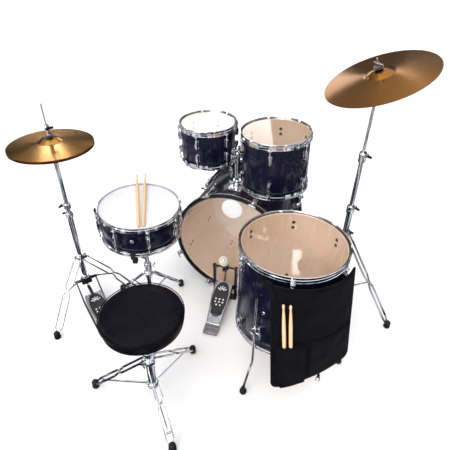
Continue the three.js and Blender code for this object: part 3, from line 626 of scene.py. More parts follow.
def leg_bracket(azimuth):
    """A floor tom leg's bracket: foot plate, body about the leg, and wing screw."""
    middle = LEG_CLAMP - FLOOR_TOM_AT[2]
    shapes = [block(5, 34, 44, 1.6, 205, 0, middle), block(28, 26, 28, 4, 216, 0, middle)]
    shapes.append(rod(Vector((218, 10, middle - 4)), Vector((219.5, 26, middle - 4)), 5, 16))
    for s in (-1, 1):
        shapes.append(block(7, 5, 15, 2, 220, 29, middle - 4 + s * 9.5))
    shapes.append(block(9, 7, 12, 2, 220, 29, middle - 4))
    return [turned(s, azimuth) for s in shapes]


def tom_bracket(r, side, reach, z, y):
    """The bracket on a rack tom's shell that its arm holds."""
    shapes = [
        block(8, 66, 62, 2.4, side * (r + 1), y, z),
        block(reach - r + 1, 44, 38, 4, side * (r + (reach - r) / 2), y, z)
    ]
    for s in (-1, 1):
        for t in (-1, 1):
            shapes.append(rod(
                Vector((side * (r + 2), y + s * 26, z + t * 25)),
                Vector((side * (r + 7.5), y + s * 26, z + t * 25)), 4.5, 14
            ))
    return shapes


TOM_SPECS = (
    ("tom1", "tom1", 10, 7, 6, 29, 34, 64, TOM1_AT, (3, 0), HAZY),
    ("tom2", "tom2", 12, 10, 6, 35, 34, 70, TOM2_AT, (3, -1.5), CLEAR),
    ("floor_tom", "kit", 16, 16, 6, 41, 40, 64, FLOOR_TOM_AT, (0, 0), CLEAR),
    ("snare", "snare", 14, 5.5, 8, -5, 60, 78, SNARE_AT, SNARE_TILT, COATED),
)
for spec in TOM_SPECS:
    metal_drum(*spec)

SNARE_FRAME = place(*SNARE_AT, (SNARE_TILT[0], "X"), (SNARE_TILT[1], "Y"))

# The snare wires under the bottom head, and their two end plates
wires = Piece("snare_wires", SNARE_FRAME, CHROME_DULL)
for k in range(20):
    across = -19 + 2 * k
    points = []
    for j in range(60):
        t = j / 59
        points.append(Vector((
            -130 + 260 * t, across + 0.7 * math.cos(40 * t * math.pi),
            -151.3 + 0.7 * math.sin(40 * t * math.pi)
        )))
    wires.add(moved(tube(points, 0.5, 4), Matrix.Rotation(math.radians(20), 4, "Z")))
for s in (-1, 1):
    wires.add(turned(block(18, 42, 1.6, 0.5, s * 138, 0, -151), 20))
wires.done("snare", "chrome")

lever = Piece("throw_off_lever", SNARE_FRAME, CHROME, RUBBER)
lever.add(turned(block(6, 12, 44, 2, 204.1, 0, -66), -160))
lever.add(turned(block(8, 14, 20, 2.6, 204.1, 0, -42), -160), 1)
lever.add(turned(rod(Vector((204.1, -8, -86)), Vector((204.1, 8, -86)), 3.6, 14), -160))
lever.done("snare_lever", "chrome", "snare_throw_off_lever")


# ---------------------------------------------------------------- drumsticks
def stick_shape(length=425):
    """A drumstick along +Z, from its butt to its tip."""
    return pole(
        [
            (0, 0), (4.5, 0.4), (6.6, 2), (7, 5), (7, 310), (6.4, 340), (5, 380), (3.5, 402), (3.7, 405),
            (4.9, 409), (5.1, 413), (4.9, 417), (3.4, length - 3), (1.6, length - 0.5), (0, length)
        ],
        28
    )


def lay_stick(name, body, node_name, start, end, material):
    turn = (end - start).normalized().to_track_quat("Z", "Y").to_matrix().to_4x4()
    piece = Piece(name, Matrix.Translation(start) @ turn, material)
    piece.add(stick_shape())
    return piece.done(body, "hickory", node_name)


def snare_stick_ends(x, y, azimuth, rise=0.018):
    start = SNARE_FRAME @ (Vector((x, y, 0.3)) * MM)
    direction = polar(math.cos(rise), azimuth, math.sin(rise))
    return start, SNARE_FRAME @ ((Vector((x, y, 0.3)) + direction * 425) * MM)


for number, (x, y, azimuth) in enumerate(((84, -148, 121), (99, -134, 118)), 1):
    lay_stick(
        f"snare_stick_{number}", f"stick_{number}", f"stick_{number}", *snare_stick_ends(x, y, azimuth),
        HICKORY
    )


# ---------------------------------------------------------------- floor tom legs
for number, azimuth in enumerate(FLOOR_LEGS, 1):
    legs = Piece(f"floor_leg_{number}", place(*FLOOR_TOM_AT[:2], 0), CHROME, RUBBER)
    path = [polar(LEG_R, azimuth, z) for z in (LEG_TOP, 400, 260, 160)]
    path += [polar(LEG_R + 24, azimuth, 106), polar(264, azimuth, 50), polar(270, azimuth, 14)]
    legs.add(tube(smooth_path(path), 5, 16))
    foot = pole(
        [(0, 0), (11, 0), (14, 3), (15, 9), (14, 16), (11, 22), (8, 26), (7.5, 36), (6, 38), (0, 38)], 28
    )
    legs.add(shifted(foot, *polar(270, azimuth)), 1)
    memory = revolve([(5.2, 0), (11, 0), (12, 1.2), (12, 10), (11, 11.2), (5.2, 11.2)], 28)
    legs.add(shifted(memory, *polar(LEG_R, azimuth, LEG_CLAMP + 16)))
    legs.done(f"floor_leg_{number}", "chrome", f"floor_tom_leg_{number}")


# ---------------------------------------------------- bass drum, Z along its axis from the batter side
BASS_R, BASS_BACK = 11 * INCH, 432.4
BASS_FRAME = place(0, 0, BASS_AXIS, (-90, "X"))
BASS_REAR = BASS_FRAME @ Matrix.Translation((0, 0, BASS_BACK * MM)) @ Matrix.Rotation(math.pi, 4, "Y")
BASS_LUGS = [22.5 + 45 * k for k in range(8)]


def bass_lug(azimuth, middle):
    """A long cast lug of the bass drum."""
    shapes = [block(4, 22, 58, 1.6, BASS_R + 1.8, 0, middle)]
    body = block(50, 17, 26, 4, taper=0.8)
    shapes.append(moved(
        body, Matrix.Translation((BASS_R + 16, 0, middle)) @ Matrix.Rotation(math.pi / 2, 4, "Y")
    ))
    for s in (-1, 1):
        shapes.append(shifted(
            pole([(0, 0), (6, 0), (6.8, 1), (6.8, 7), (6, 8), (0, 8)], 18), 304, 0, middle + s * 25 - 4
        ))
    return [turned(s, azimuth) for s in shapes]


shell = Piece("bass_shell_finish", BASS_FRAME, LACQUER, BASS_WOOD, CHROME, BLACK_METAL)
shell.add(revolve(
    [
        (BASS_R - 4.5, 13), (BASS_R - 1, 15), (BASS_R, 17), (BASS_R, 415.4), (BASS_R - 1, 417.4),
        (BASS_R - 4.5, 419.4)
    ],
    160, False
))
shell.add(
    revolve([(BASS_R - 4.5, 419.4), (BASS_R - 8, 416), (BASS_R - 8, 16), (BASS_R - 4.5, 13)], 160, False), 1
)
for azimuth in BASS_LUGS:
    for middle in (84, BASS_BACK - 84):
        shell.add(bass_lug(azimuth, middle), 2)
        shell.add(shell_screws(BASS_R - 7.8, azimuth, (middle - 15, middle + 15)), 3)
for s in (-1, 1):
    shell.add(block(8, 34, 50, 3, s * (BASS_R + 1), 0, 330), 2)
weld(shell.done("kit", "black_lacquer", "bass_shell"))

for side, matrix in (("batter", BASS_FRAME), ("front", BASS_REAR)):
    film_top = 11.7
    head = Piece(f"bass_{side}_film", matrix, CLEAR_BASS if side == "batter" else FRONT_FILM)
    r = BASS_R
    head.add(pole(
        [
            (0, film_top), (r - 14, film_top), (r - 8, film_top + 0.3), (r - 3, film_top + 0.9),
            (r + 0.5, film_top + 1.8), (r + 2.6, film_top + 4), (r + 3, film_top + 9),
            (r + 2.6, film_top + 9), (r + 2.2, film_top + 4.3), (r + 0.3, film_top + 2.2),
            (r - 3, film_top + 1.3), (r - 8, film_top + 0.7), (r - 14, film_top + 0.4), (0, film_top + 0.4)
        ],
        160
    ))
    head.done("kit", "clear_film" if side == "batter" else "coated_film", f"bass_{side}_head")
    ring = Piece(f"bass_{side}_flesh_hoop", matrix, FLESH_HOOP)
    ring.add(revolve([(r + 0.8, 18), (r + 3.6, 16), (r + 4.2, 17), (r + 4.2, 24), (r + 0.8, 24)], 128))
    ring.done("kit", "aluminium")
    hoop = Piece(f"bass_{side}_wood_hoop", matrix, HOOP_LACQUER, INLAY, CHROME)
    hoop.add(revolve(
        [
            (284, 2), (285.5, 0.4), (287, 0), (293, 0), (295, 0.6), (296, 2.4), (296, 15.8), (295.6, 16),
            (295.6, 22), (296, 22.2), (296, 35.6), (295, 37.4), (293, 38), (287, 38), (285.5, 37.6),
            (284, 36)
        ],
        160
    ))
    hoop.add(revolve([(295.5, 16.2), (296.15, 16.2), (296.15, 21.8), (295.5, 21.8)], 160), 1)
    for azimuth in BASS_LUGS:
        claw = [
            block(5, 24, 30, 1.8, 299, 0, 15), block(15, 24, 5, 1.8, 294, 0, -1.6),
            block(20, 17, 7, 2.4, 304, 0, 2),
            shifted(pole([(0, 0), (7, 0), (8, 1), (8, 5), (6.5, 7), (0, 7)], 20), 304, 0, -8),
            rod(Vector((304, 0, -22)), Vector((304, 0, 62)), 3.1, 12),
            rod(Vector((304, -19, -22)), Vector((304, 19, -22)), 3.8, 16, 1.6),
            shifted(pole([(0, 0), (4.6, 0), (5.4, 1.5), (5.4, 8), (4.2, 10), (0, 10)], 18), 304, 0, -20)
        ]
        hoop.add([turned(shape, azimuth) for shape in claw], 2)
    hoop.done("kit", "black_hoop", f"bass_{side}_hoop")

PATCH_Z = 520
patch = Piece(
    "bass_patch", BASS_FRAME @ Matrix.Translation(Vector((8, BASS_AXIS - PATCH_Z, 11.5)) * MM), WHITE_DISC
)
patch.add(pole([(0, -0.9), (50, -0.9), (52, -0.3), (52, 0.1), (0, 0.1)], 96))
patch.done("kit", "coated_film")
impact = Piece("bass_impact_patch", BASS_FRAME @ Matrix.Translation(Vector((8, 0, 11.5)) * MM), CLEAR)
impact.add(pole([(0, -0.6), (38, -0.6), (39, -0.2), (39, 0.1), (0, 0.1)], 64))
impact.done("kit", "clear_film")

for s, side in ((-1, "left"), (1, "right")):
    spur = Piece(f"spur_{side}", place(0, 330, BASS_AXIS), CHROME, RUBBER)
    top, tip = Vector((s * 292, 0, 0)), Vector((s * 398, 70, 20 - BASS_AXIS))
    middle = top.lerp(tip, 0.52)
    spur.add([rod(top, middle, 8.5, 28), rod(middle, tip.lerp(top, 0.05), 6.2, 24)])
    spur.add([along(
        revolve([(6.5, 0), (10.5, 0), (11.5, 1.5), (11.5, 16), (10.5, 17.5), (6.5, 17.5)], 28),
        middle - (tip - top).normalized() * 10, tip
    )])
    spur.add([rod(top - Vector((s * 5, 0, 0)), top + Vector((s * 13, 0, 0)), 13, 28, 2.5)])
    spur.add(
        shifted(
            pole([(0, 0), (10, 0), (13, 4), (13, 17), (11, 26), (9, 34), (0, 34)], 28), tip.x, tip.y,
            -BASS_AXIS
        ),
        1
    )
    spur.done(f"spur_{side}", "chrome", f"bass_spur_{side}")

# ---------------------------------------------------------------- tom holder
top = BASS_AXIS + BASS_R
holder = Piece("tom_holder_base", place(POST_X, POST_Y, 0), CHROME)
holder.add(block(70, 88, 9, 3.5, 0, 0, top + 5.5))
holder.add(revolve(
    [
        (12.8, 581), (24, 581), (24, 586), (20, 590), (19, 596), (19, 612), (21, 615), (21, 621),
        (19.5, 622.4), (12.8, 622.4)
    ],
    48
))
holder.add([
    shifted(pole([(0, 0), (6.5, 0), (6.5, 2.5), (4, 5), (0, 5)], 20), sx * 27, sy * 35, top + 9.5)
    for sx in (-1, 1) for sy in (-1, 1)
])
holder.add(wing(19, top + 30, 198, 20))
holder.done("kit", "chrome", "tom_mount_base")
post = Piece("tom_holder_post", place(POST_X, POST_Y, 0), CHROME)
post.add(rod(Vector((0, 0, 596)), Vector((0, 0, 806)), 12, 40, 2))
post.done("tom_post", "chrome", "tom_post")
for number, (z, s) in enumerate(zip(ARM_HEIGHTS, (-1, 1)), 1):
    arm = Piece(f"tom_arm_{number}", place(POST_X, POST_Y, 0), CHROME)
    arm.add(revolve(
        [
            (12.6, z - 12), (16, z - 12), (17, z - 10.5), (17, z - 4), (16, z - 3), (16, z + 3),
            (17, z + 4), (17, z + 10.5), (16, z + 12), (12.6, z + 12)
        ],
        40
    ))
    arm.add(wing(15, z, -90 + 6 * s, 24))
    arm.done(f"tom{number}_arm", "chrome", f"tom{number}_arm")


# ---------------------------------------------------------------- stands
def clamp_tube(inner, outer, low, high, collar, collar_low):
    """A tube with a nylon-lined clamp collar at its top."""
    middle = (collar_low + high) / 2
    return revolve(
        [
            (inner, low), (outer - 0.8, low), (outer, low + 0.8), (outer, collar_low - 3),
            (collar - 2, collar_low), (collar, collar_low + 2.5), (collar, middle - 2),
            (collar - 1.2, middle - 1), (collar - 1.2, middle + 1), (collar, middle + 2),
            (collar, high - 3), (collar - 2, high), (inner, high)
        ],
        40
    )


def stand_leg(leg, azimuth, wall):
    spread_, width = leg["spread"], leg["width"]
    top = polar(wall + 4, azimuth, leg["collar"])
    heel = polar(leg["foot"] - 5, azimuth, 26)
    middle = top.lerp(heel, leg["joint"]) + Vector((0, 0, leg["rise"]))
    side = polar(1, azimuth + 90)
    metal, rubber = [], []
    for s in (-1, 1):
        for first, last, begin, finish in ((top, middle, spread_ * 0.75, 5), (middle, heel, 5, 6)):
            bow = [(0, begin), (0.14, spread_), (0.86, spread_), (1, finish)]
            corners = [first.lerp(last, t) + side * s * gap for t, gap in bow]
            metal += [bar(a, b, width, 4.4, azimuth) for a, b in zip(corners, corners[1:])]
            metal += [rod(c - side * 1.8, c + side * 1.8, 4.6, 12) for c in corners[1:3]]
    metal.append(rod(middle - side * 9, middle + side * 9, 4.4, 16))
    metal.append(rod(top - side * (spread_ + 5), top + side * (spread_ + 5), 4, 16))
    metal.append(turned(shifted(block(14, 2 * spread_ + 6, 9, 2), wall + 6, 0, leg["collar"]), azimuth))
    hub = polar(wall + 2, azimuth, leg["hub"])
    low_end = middle.lerp(heel, leg["brace"])
    metal.append(bar(low_end, hub, 7, 4, azimuth))
    metal.append(rod(low_end - side * 9, low_end + side * 9, 3.6, 14))
    metal.append(rod(hub + polar(5, azimuth) - side * 8, hub + polar(5, azimuth) + side * 8, 3.6, 14))
    foot = pole(
        [
            (0, 0), (13, 0), (15, 2), (15.5, 8), (13.5, 14), (13.5, 18), (14.5, 20), (14, 30), (11, 36),
            (8, 38), (0, 38)
        ],
        28
    )
    rubber.append(shifted(foot, *polar(leg["foot"], azimuth)))
    return metal, rubber


def stand_base(
    name, where, tube_spec, leg, node_name, collar_wing, extra=None, materials=(CHROME, RUBBER, BLACK_METAL)
):
    inner, outer, _, high, collar, collar_low = tube_spec
    base = Piece(name, where, *materials)
    base.add(clamp_tube(*tube_spec))
    black_wing = 2 if node_name in ("crash_stand_base", "hihat_stand_base") else 0
    base.add(wing(collar, (high + collar_low) / 2, collar_wing), black_wing)
    for centre, half, extra_radius in ((leg["collar"] - 1, 15, 7), (leg["hub"], 12, 6)):
        r = outer + extra_radius
        base.add(revolve(
            [
                (inner, centre - half), (r - 2, centre - half), (r, centre - half + 2), (r, centre - 3),
                (r - 1.4, centre - 2), (r - 1.4, centre + 2), (r, centre + 3), (r, centre + half - 2),
                (r - 2, centre + half), (inner, centre + half)
            ],
            40
        ))
    base.add(wing(outer + 7, leg["collar"] + 4, leg["azimuths"][0] + 60), black_wing)
    for azimuth in leg["azimuths"]:
        metal, rubber = stand_leg(leg, azimuth, outer)
        base.add(metal)
        base.add(rubber, 1)
    if extra:
        extra(base)
    return base.done("kit", "chrome", node_name)


def leg_of(azimuths, collar, foot, hub, joint, rise, spread_, width=9, brace=0.0):
    return {
        "brace": brace, "azimuths": azimuths, "collar": collar, "foot": foot, "hub": hub, "joint": joint,
        "rise": rise, "spread": spread_, "width": width
    }


stand_base(
    "crash_stand", place(*CRASH_AT), (11, 13, 60, 609, 18, 571),
    leg_of((-14.5, 105.5, 225.5), 449, 302, 100, 0.52, 0, 17), "crash_stand_base", 30
)
stand_base(
    "throne_stand", place(*THRONE_AT), (13.2, 16, 46, 292, 22, 262),
    leg_of((-166, 74, -46), 222, 255, 66, 0.5, 0, 14, brace=0.72), "throne_base", 200
)
stand_base(
    "snare_stand", place(*SNARE_STAND_AT), (11, 13, 50, 262, 18, 236),
    leg_of((58.7, 177.5, -61.3), 196, 185, 66, 0.5, 0, 14), "snare_stand_base", 20
)

# ---------------------------------------------------------------- snare basket
UNDER = -drum_height(5.5 * INCH) - 0.3
basket = Piece("snare_basket_finish", SNARE_FRAME, CHROME, RUBBER)
hub = Vector((0, 0, UNDER - 134))
RIM = 177.8 + 7
for azimuth in (-72, 64, 154):
    basket.add(tube(
        smooth_path([
            hub, polar(60, azimuth, UNDER - 104), polar(110, azimuth, UNDER - 56),
            polar(RIM - 30, azimuth, UNDER - 24), polar(RIM - 9, azimuth, UNDER - 7)
        ]),
        5, 14
    ))
    basket.add(turned(block(30, 21, 6.4, 2.2, RIM - 6, 0, UNDER - 3.4), azimuth), 1)
    basket.add(turned(block(8, 21, 34, 3, RIM + 5, 0, UNDER + 11), azimuth), 1)
    basket.add(turned(block(24, 23, 40, 6, RIM - 24, 0, UNDER - 30), azimuth), 1)
basket.add(shifted(
    pole(
        [(0, 0), (18, 0), (20, 3), (20, 17), (18, 20), (18, 24), (20, 26), (20, 37), (17, 40), (0, 40)], 36
    ),
    0, 0, UNDER - 158
))
basket.add([rod(Vector((-26, 0, UNDER - 134)), Vector((26, 0, UNDER - 134)), 8, 24)])
stem_top = SNARE_FRAME.inverted() @ (place(*SNARE_STAND_AT) @ Vector((0, 0, 0.305)))
stem_low = SNARE_FRAME.inverted() @ (place(*SNARE_STAND_AT) @ Vector((0, 0, 0.130)))
basket.add(rod(stem_low / MM, stem_top / MM, 9.5, 32))
basket.done("snare", "chrome", "snare_basket")


# ---------------------------------------------------------------- cymbals
def cymbal_shape(radius, bell, bell_base, height):
    """Bell, bow and edge of a cymbal, 1.4 mm thick, from its edge plane up."""
    upper = [(6.5, height), (14, height - 0.8), (24, height - 3.4)]
    for k in range(1, 9):
        t = k / 8
        upper.append((24 + (bell - 24) * t, height - 3.4 - (height - 3.4 - bell_base) * t ** 1.6))
    for k in range(1, 25):
        t = k / 24
        upper.append((bell + (radius - bell) * t, bell_base + (1.2 - bell_base) * (t ** 1.12)))
    upper.append((radius, 0.6))
    lower = [(r, z - 1.2) for r, z in upper[:-1]][::-1]
    return revolve(upper + [(radius - 0.4, 0)] + lower, 192)


HAT_EDGE, HAT_GAP = 859, 10
cymbal = Piece("hat_top", place(*HAT_AT[:2], HAT_EDGE), HAT_BRONZE)
cymbal.add(cymbal_shape(7 * INCH, 50, 16, 33))
cymbal.done("hihat_clutch", "bronze", "hihat_top_cymbal")
cymbal = Piece("hat_bottom", place(*HAT_AT[:2], HAT_EDGE - HAT_GAP, (180, "X")), HAT_BRONZE)
cymbal.add(cymbal_shape(7 * INCH, 50, 16, 33))
cymbal.done("hihat_upper", "bronze", "hihat_bottom_cymbal")

CRASH_CENTRE, CRASH_AZ, CRASH_LEAN = Vector((544, 82, 1166.7)), -147.2, 23.5
normal = polar(math.sin(math.radians(CRASH_LEAN)), CRASH_AZ, math.cos(math.radians(CRASH_LEAN)))
pin = polar(1, CRASH_AZ + 90)
basis = Matrix((pin, normal.cross(pin), normal)).transposed().to_4x4()
CRASH_FRAME = place(*CRASH_CENTRE) @ basis
cymbal = Piece("crash_bronze", CRASH_FRAME, BRONZE)
cymbal.add(cymbal_shape(8 * INCH, 52, 17, 34))
cymbal.done("crash_cymbal", "bronze", "crash_cymbal")


def felt_disc(inner, outer, low, high):
    """A felt washer."""
    return revolve(
        [
            (inner, low), (outer - 1.5, low), (outer, low + 1.5), (outer, high - 1.5), (outer - 1.5, high),
            (inner, high)
        ],
        36
    )


tilter = Piece("crash_tilter_finish", CRASH_FRAME, CHROME, BLACK_FELT, RUBBER)
PIVOT = -25
tilter.add(moved(
    pole([(0, -6), (13, -6), (14, -5), (14, 5), (13, 6), (0, 6)], 40),
    Matrix.Translation((0, 0, PIVOT)) @ Matrix.Rotation(math.pi / 2, 4, "Y")
))
tilter.add(rod(Vector((0, 0, PIVOT)), Vector((0, 0, 76)), 3.6, 20))
tilter.add(shifted(pole([(0, 0), (14, 0), (14, 2), (10, 3), (0, 3)], 36), 0, 0, 20.5))
tilter.add(
    revolve([(3.7, 23.5), (13.5, 23.5), (15, 25), (15, 27.4), (13.5, 28.2), (7, 30.2), (3.7, 30.6)], 36), 1
)
tilter.add(
    revolve([(3.7, 35.4), (7, 35.8), (16.5, 38.4), (18, 39.6), (18, 44.5), (16.5, 46), (3.7, 46)], 36), 1
)
tilter.add(revolve([(3.7, 46), (6, 46), (7, 50), (7, 58), (3.7, 58)], 24))
for s in (-1, 1):
    tilter.add(moved(block(15, 5, 11, 2.2, s * 11, 0, 55), Matrix.Rotation(math.radians(8 * s), 4, "Y")))
tilter.done("crash_tilter", "chrome", "crash_tilter")
pivot = CRASH_CENTRE + normal * PIVOT
pole_top = pivot - pin * 13
top_tube = Piece("crash_top_tube_finish", place(0, 0, 0), CHROME, RUBBER)
top_tube.add(rod(Vector((pole_top.x, pole_top.y, 620)), pole_top - Vector((0, 0, 8)), 6, 32))
top_tube.add(along(
    pole([(0, 0), (13, 0), (15, 1.5), (15, 10.5), (13, 12), (0, 12)], 40), pivot - pin * 18.5, pivot
))
top_tube.add(along(pole([(0, 0), (6, 0), (6, 7), (0, 7)], 20), pivot - pin * 25, pivot))
for s in (-1, 1):
    top_tube.add(shifted(block(6, 6, 17, 2.2), *(pivot - pin * 27 + Vector((0, 0, s * 11)))))
top_tube.done("crash_top", "chrome", "crash_top_tube")
middle = Piece("crash_middle_finish", place(*CRASH_AT), CHROME, RUBBER)
middle.add(clamp_tube(7.4, 9.7, 330, 868, 16, 824))
middle.add(wing(16, 846, 30), 1)
middle.done("crash_middle", "chrome", "crash_middle_tube")

# ---------------------------------------------------------------- hi-hat stand and pedal
PEDAL_TURN = 54
HEEL, HINGE, TOE, HOOK = -415, -345, -85, -14


def hat_frame(base):
    """The casting under the tube, the two side rods on the floor and the heel plate."""
    shapes = [
        block(54, 40, 26, 7, 0, 0, 78), block(40, 34, 30, 8, 0, 0, 96),
        rod(Vector((-58, 0, 84)), Vector((58, 0, 84)), 8, 24)
    ]
    for s in (-1, 1):
        path = smooth_path(
            [
                (s * 52, 0, 84), (s * 52, -40, 55), (s * 52, -96, 14), (s * 52, -116, 8), (s * 52, -220, 7),
                (s * 52, HINGE, 7)
            ],
            6
        )
        shapes.append(tube(path, 3.8, 12))
    base.add([turned(shape, PEDAL_TURN) for shape in shapes], 2)
    heel = [
        block(92, -HEEL + HINGE, 4.6, 1.6, 0, (HEEL + HINGE) / 2, 2.6),
        block(80, 14, 11, 2.5, 0, HINGE - 10, 8), block(112, 9, 9, 2, 0, HINGE - 4, 7)
    ]
    heel.append(rod(Vector((-38, HINGE, 24)), Vector((38, HINGE, 24)), 4, 16))
    base.add([turned(shape, PEDAL_TURN) for shape in heel], 3)


hat_tube = (11, 13, 96, 511, 18, 486)
stand_base(
    "hihat_stand", place(*HAT_AT), hat_tube, leg_of((-80, 9), 246, 329, 108, 0.5, 22, 18),
    "hihat_stand_base", 160, hat_frame, (CHROME, RUBBER, BLACK_METAL, CAST)
)
seat_z = HAT_EDGE - HAT_GAP - 33 - 1.4
upper = Piece("hihat_upper_finish", place(*HAT_AT), CHROME, BLACK_FELT, RUBBER)
upper.add(revolve(
    [
        (7.5, 300), (9.5, 300), (9.5, 536), (15.5, 536), (17, 537.5), (17, 560.5), (15.5, 562), (9.5, 562),
        (9.5, seat_z - 24), (12, seat_z - 22), (19, seat_z - 9), (21, seat_z - 6), (7.5, seat_z - 6)
    ],
    40
))
upper.add(felt_disc(3.6, 20, seat_z - 6, seat_z + 0.6), 1)
upper.add(wing(17, 549, 200), 2)
upper.done("hihat_upper", "chrome", "hihat_upper_tube")
pull = Piece("hihat_rod_finish", place(*HAT_AT), CHROME)
pull.add(rod(Vector((0, 0, 66)), Vector((0, 0, 1033)), 3, 20))
pull.done("hihat_rod", "chrome", "hihat_pull_rod")
bell = HAT_EDGE + 33
clutch = Piece("hihat_clutch_finish", place(*HAT_AT), CHROME, BLACK_FELT, RUBBER)
clutch.add(felt_disc(3.8, 18, bell - 0.2, bell + 10), 1)
clutch.add(felt_disc(3.8, 15, bell - 10.5, bell - 2), 1)
clutch.add(revolve(
    [
        (3.8, bell + 10), (13, bell + 10), (13, bell + 12), (8, bell + 13), (8, bell + 32), (10, bell + 33),
        (10, bell + 50), (8.6, bell + 52), (3.8, bell + 52)
    ],
    32
))
clutch.add(revolve([(3.8, bell - 15), (8, bell - 15), (8, bell - 10.5), (3.8, bell - 10.5)], 24))
clutch.add(wing(9, 935, -20, 15), 2)
clutch.done("hihat_clutch", "chrome", "hihat_clutch")


def tread(length, wide, narrow, thick):
    """A footboard lying along +Y from its hinge: a plate that narrows towards the heel, with raised sides."""
    verts, faces = [], []
    rows = 14
    section = [(-1, 0), (-1, 1), (-0.93, 1), (-0.9, 0.35), (0.9, 0.35), (0.93, 1), (1, 1), (1, 0)]
    for k in range(rows + 1):
        t = k / rows
        half = narrow + (wide - narrow) * min(1, t * 1.6)
        if t > 0.9:
            half *= 1 - 0.16 * ((t - 0.9) / 0.1) ** 2
        for x, z in section:
            verts.append(Vector((x * half, length * t, -thick / 2 + z * thick)))
    n = len(section)
    for k in range(rows):
        for j in range(n):
            a, b = k * n + j, k * n + (j + 1) % n
            faces.append([a, b, b + n, a + n])
    faces.append(list(range(n)))
    faces.append([rows * n + j for j in range(n)][::-1])
    return verts, faces


def oval(cx, cy, half_x, half_y, low, high, power=2.4, sides=48):
    """A flat superellipse plate."""
    rims = []
    for z in (low, high):
        ring = []
        for k in range(sides):
            a = TAU * k / sides
            c, s = math.cos(a), math.sin(a)
            ring.append(Vector((
                cx + half_x * math.copysign(abs(c) ** (2 / power), c),
                cy + half_y * math.copysign(abs(s) ** (2 / power), s), z
            )))
        rims.append(ring)
    verts = rims[0] + rims[1]
    faces = [list(range(sides))[::-1], list(range(sides, 2 * sides))]
    faces += [[k, (k + 1) % sides, sides + (k + 1) % sides, sides + k] for k in range(sides)]
    return verts, faces


def footboard(piece, length, wide, narrow, thick, matrix):
    """A cast tread with a large black oval inlay that holds raised rays and rows of round grips."""
    top = thick * -0.15
    piece.add(moved(tread(length, wide, narrow, thick), matrix))
    piece.add(moved(oval(0, length * 0.60, wide * 0.86, length * 0.38, top - 0.4, top + 0.9), matrix), 1)
    for k in range(5):
        a = math.radians(-56 + 28 * k)
        centre = Vector((math.sin(a) * wide * 0.40, length * 0.74 + math.cos(a) * length * 0.10, top + 1.4))
        ray = moved(
            block(4.6, length * 0.085, 1.6, 0.7), Matrix.Translation(centre) @ Matrix.Rotation(-a, 4, "Z")
        )
        piece.add(moved(ray, matrix), 2)
    for row, count in ((0.56, 3), (0.49, 3), (0.42, 2)):
        for k in range(count):
            dot = pole([(0, 0), (4.4, 0), (4.4, 1), (3.4, 1.8), (0, 1.8)], 16)
            piece.add(
                moved(shifted(dot, (k - (count - 1) / 2) * wide * 0.42, length * row, top + 0.8), matrix), 2
            )
    for depth in (0.26, 0.22):
        chevron = []
        for k in range(13):
            a = math.pi * k / 12
            chevron.append(Vector((
                math.cos(a) * narrow * 0.78, length * (depth + 0.05) - math.sin(a) * length * 0.10,
                top + 0.9
            )))
        piece.add(moved(tube(chevron, 3.4, 8), matrix), 1)


def chain(piece, start, end, material, pitch=8.5):
    """A roller chain: paired side plates and rollers between two points."""
    count = max(2, round((end - start).length / pitch))
    side = Vector((1, 0, 0))
    for k in range(count + 1):
        centre = start.lerp(end, k / count)
        piece.add(rod(centre - side * 4.4, centre + side * 4.4, 2.4, 10), material)
        if k < count:
            ahead = start.lerp(end, (k + 1) / count)
            offset = 3.2 if k % 2 else 4.2
            for s in (-1, 1):
                piece.add(bar_between(centre + side * s * offset, ahead + side * s * offset, 6, 1), material)


def bar_between(start, end, width, thickness):
    """A flat link plate in the plane square to X."""
    direction = (end - start).normalized()
    across = Vector((1, 0, 0)).cross(direction).normalized()
    length = (end - start).length + width * 0.8
    basis_ = Matrix((Vector((1, 0, 0)), across, direction)).transposed().to_4x4()
    return moved(block(thickness, width, length, 0.4), Matrix.Translation((start + end) / 2) @ basis_)


def tilt_to(start, end):
    """The frame at start whose +Y runs to end, with its X level."""
    forward = (end - start).normalized()
    x = Vector((1, 0, 0))
    up = x.cross(forward).normalized()
    return Matrix.Translation(start) @ Matrix((x, forward, up)).transposed().to_4x4()


HAT_PEDAL_FRAME = place(*HAT_AT, (PEDAL_TURN, "Z"))
board = Piece("hihat_pedal_board", HAT_PEDAL_FRAME, CAST, BLACK_METAL, WHITE_DISC)
start, end = Vector((0, HINGE + 4, 24)), Vector((0, TOE, 48))
footboard(board, (end - start).length, 46, 33, 8, tilt_to(start, end))
board.add([bar_between(Vector((0, TOE - 22, 46)), Vector((0, HOOK - 6, 48)), 7, 15)], 1)
chain(board, Vector((0, HOOK - 2, 50)), Vector((0, -4, 62)), 1)
board.done("hihat_pedal", "aluminium", "hihat_footboard")

# ---------------------------------------------------------------- kick pedal
KICK_FRAME = place(3.65, -60, 0, (4.35, "Z"))
AXLE, KICK_HEEL, KICK_HINGE = 207, -282, -227
base = Piece("kick_pedal_base_finish", KICK_FRAME, BLACK_METAL, CAST, CHROME, RUBBER)
for s in (-1, 1):
    base.add(block(12, 26, AXLE - 8, 3, s * 57, 0, (AXLE - 8) / 2 + 2, taper=0.92))
    base.add([rod(Vector((s * 50, 0, AXLE)), Vector((s * 66, 0, AXLE)), 11.4, 28, 2)])
    base.add([rod(Vector((s * 66, 0, AXLE)), Vector((s * 68, 0, AXLE)), 6.5, 20, 0.6)], 2)
    base.add(block(16, 34, 12, 3, s * 57, 2, 8))
    if s > 0:
        coil = [
            Vector((72 + 6 * math.cos(k * 0.7), 6 * math.sin(k * 0.7), AXLE - 28 - k * 0.62))
            for k in range(170)
        ]
        base.add(tube(coil, 1.1, 6), 2)
        base.add(
            [
                rod(Vector((66, 0, AXLE - 24)), Vector((76, 0, AXLE - 24)), 3, 14),
                rod(Vector((60, 0, AXLE - 138)), Vector((76, 0, AXLE - 138)), 3.5, 14)
            ],
            2
        )
